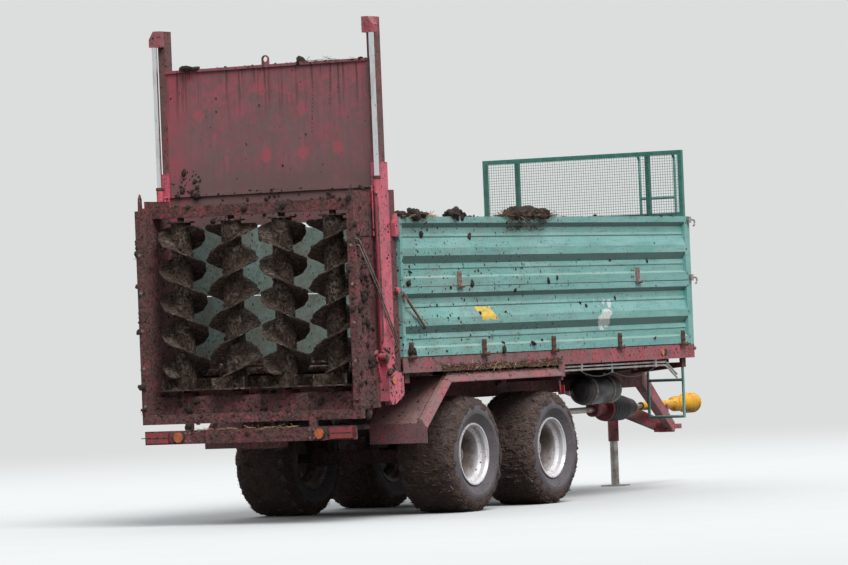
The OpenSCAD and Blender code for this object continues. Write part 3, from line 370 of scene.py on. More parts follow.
MATERIALS = {
    "red": red_enamel("satin_red_enamel_on_steel"),
    "red_road": red_enamel("road_stained_red_enamel", 0.4, 0.45, 0.4, 0.16, road=0.8),
    "red_crusted": red_enamel("crusted_red_enamel_on_steel", 0.6, 0.4, 0.5, 0.25, "#95343f", "#664b49", crust=0.5),
    # Painted highlight: the rear corner columns and the cylinder barrels get a paler red with little dust, which
    # stands in for the sky's light on them
    "red_painted_highlight": red_enamel("red_enamel_with_painted_highlight", 0.12, 0.3, 0.35, 0.06, "#cd6071"),
    "rail": red_enamel("grimy_red_enamel_on_channel", 0.6, 0.4, 0.35, 0.2, "#8f3540", "#66524f"),
    "post": red_enamel("shaded_red_enamel_on_post", 0.6, 0.2, 0.5, 0.3, "#7e2c38", "#5d4744"),
    "gate": gate_enamel(),
    "teal": teal_enamel("teal_enamel_on_rolled_sheet"),
    "teal_soiled": teal_enamel("soiled_teal_enamel_inside_the_box", "#5c8f88", 0.5, 0.85),
    "ladder": teal_enamel("teal_enamel_on_steel_tube", "#5f9a92", 0.12),
    "guard": finish("bottle_green_enamel_on_tube", GUARD_GREEN, 0.4, [
        # Dipped enamel on square tube and woven wire: a deep even green, dull where dust sits
        (0.5, patches(60, 0.4, 0.15), "#5d8a7e", 0.6),
        (0.6, both(facing(2, 0.4, 0.9), patches(40, 0.7, 0.2)), DUST, 0.9),
    ], [ORANGE_PEEL]),
    "planks": planks(),
    "steel": scoured_steel(),
    "beater": finish("worn_cutting_steel", "#7b6f68", 0.5, [
        # Hard cutting steel of the beaters: brown and clotted, bright only where the load rubs it
        (0.95, patches(90, 0.75, 0.15), "#43342d", 0.85),
        (1, patches(26, 0.45, 0.06), DARK_MUD, 0.95),
        (1, patches(9, 0.2, 0.03, (1, 1, 0.3)), "#7b6a4c", 0.95),
    ], [(patches(20, 0.45, 0.1), 3.0), GRIT], Metallic=0.5),
    "chrome": finish("hard_chrome_on_ground_rod", "#d9dbde", 0.12, [
        # Ground and hard-chromed cylinder rod: a clear mirror with thin rings of dried spray
        (0.35, patches(50, 0.3, 0.08, (1, 1, 0.3)), "#9a9694", 0.5),
        (1, drops(12, 0.08), DARK_MUD, 0.9),
    ], [], Metallic=1.0),
    "axle": finish("dirty_red_oxide_primer", "#5c3a36", 0.7, [
        # Primer on rough castings and springs, brown with thrown mud
        (0.9, patches(120, 0.6, 0.15), "#4b3e37", 0.95),
        (1, patches(18, 0.35, 0.06), DARK_MUD, 0.95),
    ], [GRIT, (patches(24, 0.4, 0.1), 2.0)]),
    "tyre": tyre_rubber(),
    "rim": wheel_enamel(),
    "zinc": zinc_coat(),
    "linkage": finish("dull_zinc_rod", "#7d706b", 0.5, [
        # Plated rods of the unit's lock and the cylinders' pipes: dull, with dirt lying in patches
        (0.8, patches(60, 0.45, 0.12), "#54423d", 0.8),
        (1, drops(14, 0.3), MANURE, 0.9),
    ], [GRIT], Metallic=0.4),
    "nut": finish("zinc_plated_bolt_head", "#8f8b86", 0.45, [
        # Plated bolt heads and nuts: dull grey, brown with rust and dirt on their edges
        (0.8, patches(10, 0.5, 0.1), "#6a4a3b", 0.8),
    ], [GRIT], Metallic=0.7),
    "yellow": finish("moulded_yellow_polyethylene", "#dca013", 0.42, [
        # Moulded polyethylene guard: warm yellow, scuffed matt, with brown handling marks
        (0.6, patches(90, 0.35, 0.14), "#b98a22", 0.6),
        (0.8, patches(26, 0.2, 0.05), "#6b4f22", 0.85),
        (1, drops(16, 0.14), DARK_MUD, 0.9),
    ], [ORANGE_PEEL], IOR=1.5),
    "black": finish("moulded_black_rubber", "#1f1d20", 0.6, [
        # Moulded rubber and polyethylene in black: greyed by dust on its upper side
        (0.6, patches(60, 0.45, 0.15), "#453e3f", 0.85),
        (1, drops(18, 0.14), MUD, 0.95),
    ], [ORANGE_PEEL]),
    "tank": finish("black_enamel_on_pressed_tank", "#1b1c22", 0.38, [
        # Enamelled air tank: near black with a soft sheen, brown below with road dirt
        (0.7, patches(110, 0.4, 0.15), "#3a3230", 0.85),
        (1, drops(20, 0.12), MUD, 0.95),
    ], [ORANGE_PEEL]),
    "mud": caked_mud("dried_field_mud", MUD, DARK_MUD, 0.12, "#6b5853"),
    "manure": caked_mud("clotted_manure", "#2c221d", "#1f1816", 0.05, "#41342f"),
    "rust": finish("rusted_hinge_steel", "#54382e", 0.85, [
        # Bare hinge straps and pins: a brown rust skin, darker where damp dirt sits on it
        (0.9, patches(24, 0.5, 0.12), "#3d2e2b", 0.9),
        (0.8, patches(9, 0.3, 0.06), "#7b4a36", 0.9),
    ], [GRIT, (patches(8, 0.5, 0.2), 0.8)]),
    "hook": finish("dusty_hook_steel", "#8a746b", 0.8, [
        # Folding hooks of the upper boards: pale with dried dust, brown where the dust has worn off
        (0.9, patches(16, 0.4, 0.1), "#54403a", 0.9),
    ], [GRIT]),
    "film_yellow": finish("faded_vinyl_film_yellow", "#e3c058", 0.45, [
        # A plain safety marking's film: dull with chalk, dirt in its scratches
        (0.6, patches(30, 0.35, 0.1, (0.3, 1, 1)), "#a98e4c", 0.7),
        (1, drops(9, 0.3), DARK_MUD, 0.9),
    ]),
    "film_white": finish("torn_vinyl_film_white", "#cfd5d2", 0.45, [
        # What is left of a white marking: chalky, with dirt along its torn edges
        (0.6, patches(26, 0.4, 0.1), "#9fb3ad", 0.6),
        (1, drops(9, 0.3), DARK_MUD, 0.9),
    ]),
    "straw": finish("chopped_straw", STRAW, 0.75, [
        # Cut cereal straw: hollow pale stalks, some browned by the manure
        (1, patches(40, 0.4, 0.1), "#64523a", 0.85),
        (1, patches(90, 0.3, 0.1), "#b3a078", 0.7),
    ], [(patches(2, 0.5, 0.3), 0.2)]),
    "dark_straw": finish("soaked_straw", "#67503c", 0.85, [
        # Straw that the manure has soaked: brown and dull
        (1, patches(30, 0.5, 0.1), "#423026", 0.9),
    ], [(patches(2, 0.5, 0.3), 0.2)]),
}

# The spreading unit behind the box
UNIT = "unit_frame unit_sides unit_top_beam beater_gearbox light_board"
# Which CAD nodes have each finish
NODE_FINISHES = {
    "post": "chassis_frame bolsters",
    "red_road": "sills fenders",
    "red": "drawbar hitch_eye jack_tube shaft_mounts",
    "red_crusted": UNIT,
    "rail": "gate_rails",
    # The rear corner columns and the cylinder barrels take the red with a painted highlight
    "red_painted_highlight": "rear_portal cylinder_barrels",
    "gate": "gate",
    "teal": "board_right_lower board_right_upper board_left_lower board_left_upper front_wall",
    "ladder": "ladder_rails ladder_rungs",
    "guard": "guard_frame guard_mesh",
    "planks": "floor",
    "steel": "floor_chains floor_slats floor_drive",
    "beater": "beater_1 beater_2 beater_3 beater_4",
    "chrome": "cylinder_rods",
    "axle": "axles leaf_springs",
    "tyre": "tyre_rear_right tyre_rear_left tyre_front_right tyre_front_left",
    "rim": "rim_rear_right rim_rear_left rim_front_right rim_front_left",
    "zinc": "board_latches jack_leg brake_pipes drive_shaft shaft_yoke",
    "yellow": "shaft_guard",
    "black": "joint_guard",
    "tank": "air_tank",
}


def lens(name, colour, sheen):
    """Moulded acrylic lamp lens: clear deep colour with fine ribs under a glossy skin."""
    return finish(name, colour, 0.16, [
        (0.6, patches(40, 0.5, 0.15), sheen, 0.5),
        (0.6, both(patches(24, 0.5, 0.15), along(0, -3.5, -3.7)), "#4a3029", 0.9),
        (1, drops(10, 0.16), DARK_MUD, 0.9),
    ], [(ridges(5, "Y"), 0.5)], IOR=1.49, Coat_Weight=0.6, Coat_Roughness=0.08)


LENSES = {
    "orange": lens("amber_acrylic_lens", "#d9641c", "#8a4520"),
    "red": lens("red_acrylic_lens", "#a31420", "#5a1518"),
}


# The rear lamps lie below this height, and their red lenses beyond this distance from the middle
REAR_LAMPS_TOP, RED_LENS_START = 0.9, 0.65


def lamp_kind(centre):
    """The lens colour of a lamp solid, by its place: side lamps and inner rear ones are amber, the others red."""
    return "orange" if centre.z > REAR_LAMPS_TOP or abs(centre.y) < RED_LENS_START else "red"


# Faces with a second finish: columns are nodes, distance from the middle beyond which they lie, finish
STRAP_FACES = [
    ("board_right_lower board_left_lower", 0.9545, "rust"),
    ("board_right_upper board_left_upper", 0.9545, "hook"),
    ("sills", 0.9495, "rust"),
]
# The right lower board's lever stands above this height, and its hinge straps below it
LEVER_FOOT = 1.33
# The box's inner faces: columns are nodes, axis and sign of the faces' normals
INNER_FACES = [
    ("board_right_lower board_right_upper", 1, 1),
    ("board_left_lower board_left_upper", 1, -1),
    ("front_wall", 0, -1),
]
# The front wall's ledges up to this height are as soiled as its face
LEDGE_TOP = 1.6
# The corner posts' shaded steel, by its distance from the middle: inside their outer plates, and from this far
# behind the box only inside their cheeks
POST_SIDE, POST_REAR, POST_CHEEK = 0.9235, 0.17, 0.86
# Height of the caps on the gate's guide rails
CAP_HEIGHT = 0.119


def refinish(name, look, wanted):
    """Adds a finish to a node, for those of its faces that are wanted."""
    mesh = frame["nodes"][name].data
    mesh.materials.append(look)
    for face in mesh.polygons:
        if wanted(face):
            face.material_index = len(mesh.materials) - 1


def dress_nodes():
    """Gives every CAD node its finish; some faces get a second one, and each lamp's solid gets its lens."""
    for look, names in NODE_FINISHES.items():
        for name in names.split():
            mesh = frame["nodes"][name].data
            mesh.materials.clear()
            mesh.materials.append(MATERIALS[look])
    for names, limit, look in STRAP_FACES:
        for name in names.split():
            top = LEVER_FOOT if name == "board_right_lower" else math.inf
            refinish(name, MATERIALS[look], lambda face: abs(face.center.y) > limit)
            refinish(name, MATERIALS["hook"], lambda face: abs(face.center.y) > limit and face.center.z > top)
    for names, axis, sign in INNER_FACES:
        for name in names.split():
            ledge_top = LEDGE_TOP if name == "front_wall" else -math.inf
            refinish(name, MATERIALS["teal_soiled"], lambda face: face.normal[axis] * sign > 0.7 or (
                face.normal.z > 0.5 and face.center.z < ledge_top))
    refinish("rear_portal", MATERIALS["post"], lambda face: abs(face.center.y) < POST_SIDE and (
        face.center.x > REAR - POST_REAR or abs(face.center.y) < POST_CHEEK))
    rails = frame["nodes"]["gate_rails"].data
    cap_z = max(v.co.z for v in rails.vertices) - CAP_HEIGHT
    refinish("gate_rails", MATERIALS["red"],
             lambda face: min(rails.vertices[v].co.z for v in face.vertices) > cap_z)
    frame["nodes"]["lamps"].data.materials.clear()
    for kind, look in LENSES.items():
        refinish("lamps", look, lambda face: lamp_kind(face.center) == kind)


# Shapes: each is an array of points and a list of faces


def tube_faces(rings, sides):
    """The faces of a tube of point rings, closed at both ends."""
    last = (rings - 1) * sides
    around = [(k + i, k + (i + 1) % sides, k + sides + (i + 1) % sides, k + sides + i)
              for k in range(0, last, sides) for i in range(sides)]
    return around + [tuple(range(sides))[::-1], tuple(range(last, last + sides))]


def turned(profile, sides=12):
    """A turned shape round Z. Columns of profile: radius, height."""
    angles = np.arange(sides) * 2 * math.pi / sides
    points = [[r * math.cos(a), r * math.sin(a), h] for r, h in profile for a in angles]
    return np.array(points), tube_faces(len(profile), sides)


def slab(size, edge):
    """A plate with chamfered edges, centred on its foot: size is its three sides."""
    a, b, c = size[0] / 2, size[1] / 2, size[2]
    rings = []
    for inset, z in ((edge, 0), (0, edge), (0, c - edge), (edge, c)):
        p, q, k = a - inset, b - inset, edge
        rings += [(p - k, q, z), (k - p, q, z), (-p, q - k, z), (-p, k - q, z), (k - p, -q, z), (p - k, -q, z),
                  (p, k - q, z), (p, q - k, z)]
    return np.array(rings), tube_faces(4, 8)


def set_at(shape, place, towards=(0, 0, 1), spin=0.0):
    """The shape with its foot at a place and its Z axis turned towards a direction."""
    turn = Vector(towards).to_track_quat("Z", "Y").to_matrix() @ Matrix.Rotation(spin, 3, "Z")
    points, faces = shape
    return points @ np.array(turn).T + np.array(place), faces


def swept(path, radius, sides=8):
    """A round tube along a path of points."""
    path = [Vector(p) for p in path]
    points, side, last = [], None, len(path) - 1
    for k, p in enumerate(path):
        run = (path[min(k + 1, last)] - path[max(k - 1, 0)]).normalized()
        side = (side or run.orthogonal()).copy()
        side = (side - side.project(run)).normalized()
        over = run.cross(side)
        points += [list(p + radius * (math.cos(a) * side + math.sin(a) * over))
                   for a in np.arange(sides) * 2 * math.pi / sides]
    return np.array(points), tube_faces(len(path), sides)


def joined(shapes):
    """Several shapes as one."""
    points, faces, base = [], [], 0
    for p, f in shapes:
        points.append(p)
        faces += [tuple(i + base for i in face) for face in f]
        base += len(p)
    return np.vstack(points), faces


def placed(name, data):
    """A new object in the scene."""
    made = bpy.data.objects.new(name, data)
    bpy.context.scene.collection.objects.link(made)
    return made


def piece(name, shape, look, body="chassis", smooth=False):
    """A mesh piece of the object that moves with a body."""
    mesh = bpy.data.meshes.new(name)
    mesh.from_pydata(shape[0].tolist(), [], shape[1])
    mesh.materials.append(MATERIALS[look])
    if smooth:
        mesh.polygons.foreach_set("use_smooth", [True] * len(mesh.polygons))
    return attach(placed(name, mesh), body)


# Strewn dirt


@functools.lru_cache(maxsize=None)
def surface_of(names):
    """A search tree of these CAD nodes' surfaces."""
    points, faces, base = [], [], 0
    for name in names:
        mesh = frame["nodes"][name].data
        points += [v.co.copy() for v in mesh.vertices]
        faces += [[i + base for i in p.vertices] for p in mesh.polygons]
        base += len(mesh.vertices)
    return BVHTree.FromPolygons(points, faces)


def clumped(hit):
    """How likely dirt is to stick here: it gathers in clumps about 0.2 m across."""
    return min(1.0, max(0.1, 0.55 + 1.6 * noise.noise(hit * 6)))


# Dirt that thins out forwards keeps at least this share, before it is raised to THINNING
LEAST_SHARE, THINNING = 0.06, 1.5


def sticking(fade):
    """How likely dirt is to stick, as a row of STREWN says."""
    if fade is None:
        return clumped
    if fade == 0:
        return lambda hit: 1
    return lambda hit: clumped(hit) * max(LEAST_SHARE, 1 - (hit.x - REAR) / fade) ** THINNING


# How far dirt keeps from the lamps
LAMP_CLEARANCE = 0.03


def strewn(names, low, high, heading, count, seed, keep=clumped):
    """Where rays along heading, from random places between two corners, first meet the nodes: points and normals."""
    tree, random, way = surface_of(tuple(names)), np.random.default_rng(seed), Vector(heading)
    points, normals = [], []
    for start, chance in zip(random.uniform(low, high, (count, 3)), random.random(count)):
        hit, normal, _, _ = tree.ray_cast(Vector(start), way)
        if hit and chance < keep(hit) and surface_of(("lamps",)).find_nearest(hit)[3] > LAMP_CLEARANCE:
            points.append(list(hit))
            normals.append(list(normal if normal.dot(way) < 0 else -normal))
    return np.array(points).reshape(-1, 3), np.array(normals).reshape(-1, 3)


def ball(steps):
    """A round mesh to make clods from."""
    mesh = bpy.data.meshes.new("clod_form")
    work = bmesh.new()
    bmesh.ops.create_icosphere(work, subdivisions=steps, radius=1.0)
    work.to_mesh(mesh)
    work.free()
    points = np.array([list(v.co) for v in mesh.vertices])
    faces = [tuple(p.vertices) for p in mesh.polygons]
    bpy.data.meshes.remove(mesh)
    return points, faces


# Forms of clods, each for clods up to this radius
BALLS = [(0.02, ball(1)), (0.05, ball(2)), (1.0, ball(3))]


def clods(spots, small, large, flat, seed):
    """Ragged clods at these spots, most of them near the small size, sunk a little into what they lie on."""
    random = np.random.default_rng(seed)
    form, faces = next(b for reach, b in BALLS if large <= reach)
    made = []
    for place, normal in zip(*spots):
        waves = random.normal(0, 3.2, (6, 3))
        swell = 1 + (np.cos(form @ waves.T + random.uniform(0, 6.3, 6)) * random.uniform(0.05, 0.2, 6)).sum(1)
        size = small + (large - small) * random.random() ** 4
        lump = form * swell[:, None] * size * [1, random.uniform(0.4, 1), flat * random.uniform(0.6, 1.2)]
        spin = random.uniform(0, 6.3)
        made.append(set_at((lump, faces), place + normal * size * flat * 0.35, normal, spin))
    return joined(made)


# Straws lie down sooner than they stand: the share of their rise that is left
STRAW_STAND = 0.2
# The thinnest and thickest straw's radius
STRAW_RADIUS = (0.0012, 0.002)


def straws(spots, short, long, lift, seed):
    """Cut straws that lie on these spots: three-sided stalks, each bent once."""
    random = np.random.default_rng(seed)
    places, normals = spots
    n = len(places)
    loose = random.normal(size=(n, 3))
    run = np.cross(normals, loose)
    run[:, 2] *= STRAW_STAND
    run /= np.linalg.norm(run, axis=1)[:, None]
    side = np.cross(run, normals)
    half = (random.uniform(short, long, n) / 2)[:, None]
    thick = random.uniform(*STRAW_RADIUS, n)[:, None]
    tilt = random.uniform(-lift, lift, n)[:, None]
    middle = places + normals * (thick + np.abs(tilt) * 0.3)
    stations = [middle - run * half, middle + side * half * random.uniform(-0.25, 0.25, n)[:, None],
                middle + run * half + normals * tilt]
    rim = [normals * thick, (side * 0.87 - normals * 0.5) * thick, (-side * 0.87 - normals * 0.5) * thick]
    points = np.stack([s + r for s in stations for r in rim], 1).reshape(-1, 3)
    stalk = tube_faces(3, 3)
    return points, [tuple(i + 9 * s for i in face) for s in range(n) for face in stalk]


# Wheels

# Mud's mesh round a tyre: steps round it, and points from one sidewall to the other
RING_STEPS, MUD_SECTION = 420, 46
# Where the mud lies on one half of a tyre: columns are depth below its radius, distance in from its side
TYRE_OUTLINE = [(0.088, 0.001), (0.07, 0.008), (0.05, 0.018), (0.026, 0.05), (0.014, 0.1)]
CROWN_DEPTH = 0.013
# Lumps in the mud: columns are scale, dimension, lacunarity, octaves, height in metres
MUD_LUMPS = [(14, 0.8, 2.1, 4, 0.010), (60, 0.7, 2.2, 3, 0.0045)]
# Depth of the mud on the tread, how much of it is gone at the sidewalls, and over how many points it thins out
MUD_DEPTH, MUD_LOSS, EDGE_POINTS = 0.02, 0.024, 6
# How far mud may stand out beyond the tyre where the wheel stands, and how much more higher up
STANDING_SPARE, MUD_SPARE = 0.0005, 0.022
# Nothing on a wheel reaches below this height
GROUND_GAP = 0.0004


def mud_outline():
    """A tyre's outline from one sidewall over the tread to the other, and its radius.

    Columns of the outline: radius, distance from the middle.
    """
    low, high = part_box("tyre_rear_right")
    r, w = (high.z - low.z) / 2, (high.y - low.y) / 2
    half = [(r - a, w - b) for a, b in TYRE_OUTLINE] + [(r - CROWN_DEPTH, 0.0)]
    rows = half + [(a, -b) for a, b in half[-2::-1]]
    steps = np.concatenate([[0], np.cumsum([math.dist(p, q) for p, q in zip(rows, rows[1:])])])
    wanted = np.linspace(0, steps[-1], MUD_SECTION)
    return np.stack([np.interp(wanted, steps, [p[k] for p in rows]) for k in (0, 1)], 1), r


def mud_ring(centre, seed):
    """Mud caked round a tyre: thick on the tread, thinning to a ragged edge on each sidewall."""
    outline, r = mud_outline()
    edge = np.minimum(np.arange(MUD_SECTION), np.arange(MUD_SECTION)[::-1]) / EDGE_POINTS
    points = np.zeros((RING_STEPS, MUD_SECTION, 3))
    normals = np.zeros_like(points)
    slope = np.gradient(outline, axis=0)
    out = np.stack([slope[:, 1], -slope[:, 0]], 1)
    out /= np.linalg.norm(out, axis=1)[:, None]
    out *= np.sign((out * (outline - [r * 0.8, 0])).sum(1))[:, None]
    for i in range(RING_STEPS):
        a = 2 * math.pi * i / RING_STEPS
        spoke = np.array([math.cos(a), math.sin(a)])
        for k in range(MUD_SECTION):
            radius, across = outline[k]
            spot = Vector((spoke[0] * radius, across, spoke[1] * radius)) + Vector((seed, 0, 0))
            rough = sum(noise.fractal(spot * scale, *fractal) * height for scale, *fractal, height in MUD_LUMPS)
            depth = MUD_DEPTH + rough + min(0.0, (edge[k] - 1.0) * MUD_LOSS)
            spare = STANDING_SPARE + MUD_SPARE * min(1.0, max(0.0, spoke[1] + 0.9) / 0.5)
            reach = min(radius + out[k][0] * depth, r + spare)
            points[i, k] = (spoke[0] * reach, across + out[k][1] * depth, spoke[1] * reach)
            normals[i, k] = (spoke[0] * out[k][0], out[k][1], spoke[1] * out[k][0])
    n, m = RING_STEPS, MUD_SECTION
    faces = [(i * m + k, i * m + k + 1, (i + 1) % n * m + k + 1, (i + 1) % n * m + k)
             for i in range(n) for k in range(m - 1)]
    return (points.reshape(-1, 3) + centre, faces), normals.reshape(-1, 3)


def flattened(shape):
    """The shape with what would reach into the ground pressed flat on it."""
    points = shape[0].copy()
    points[:, 2] = np.maximum(points[:, 2], GROUND_GAP)
    return points, shape[1]


# Nuts of a wheel: columns are profile, count, radius of their circle, height over the disc
HUB_NUTS = [
    ([(0.019, 0), (0.019, 0.018), (0.014, 0.022), (0.011, 0.022), (0.011, 0.034)], 8, 0.1375, 0),
    ([(0.009, 0), (0.009, 0.006), (0.006, 0.008)], 6, 0.061, 0.068),
]
# The valve's stem: columns are height over the disc, distance from the hub's middle
VALVE = [(-0.004, 0.17), (0.03, 0.172), (0.06, 0.18)]


def dress_wheel(name, number):
    """Mud, straw and nuts of one wheel."""
    low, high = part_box("tyre_" + name)
    centre = np.array((low + high) / 2)
    outward = math.copysign(1, centre[1])
    body = "wheel_" + name
    ring, normals = mud_ring(centre, number * 5.3)
    piece("tread_mud_" + name, flattened(ring), "mud", body, True)
    random = np.random.default_rng(40 + number)
    rows = random.integers(0, RING_STEPS, 1400) * MUD_SECTION + random.integers(3, MUD_SECTION - 5, 1400)
    few = rows[:420]
    pale = straws((ring[0][few], normals[few]), 0.01, 0.045, 0.005, number)
    dark = straws((ring[0][rows + 2], normals[rows + 2]), 0.015, 0.05, 0.006, 9 + number)
    piece("tread_straw_" + name, flattened(pale), "straw", body)
    piece("tread_dark_straw_" + name, flattened(dark), "dark_straw", body)
    half = rows[:700]
    crumbs = clods((ring[0][half] - normals[half] * 0.004, normals[half]), 0.006, 0.02, 0.7, number)
    piece("tread_crumbs_" + name, flattened(crumbs), "mud", body, True)
    disc = outward * (abs(centre[1]) + 0.002)
    nuts = [set_at(turned(profile, 6), (centre[0] + radius * math.cos(a), disc + outward * lift,
                                        centre[2] + radius * math.sin(a)), (0, outward, 0))
            for profile, count, radius, lift in HUB_NUTS for a in np.arange(count) * 2 * math.pi / count]
    stem = [centre + np.array([0, disc - centre[1] + outward * h, r]) for h, r in VALVE]
    nuts.append(swept(stem, 0.005, 6))
    piece("wheel_nuts_" + name, joined(nuts), "nut", body)


def dress_wheels():
    """All four wheels."""
    for number, name in enumerate(["rear_right", "rear_left", "front_right", "front_left"]):
        dress_wheel(name, number)


DOWN, FORWARD, BACKWARD, LEFTWARD, RIGHTWARD = (0, 0, -1), (1, 0, 0), (-1, 0, 0), (0, 1, 0), (0, -1, 0)
SILL_SIDE = "sills fenders"
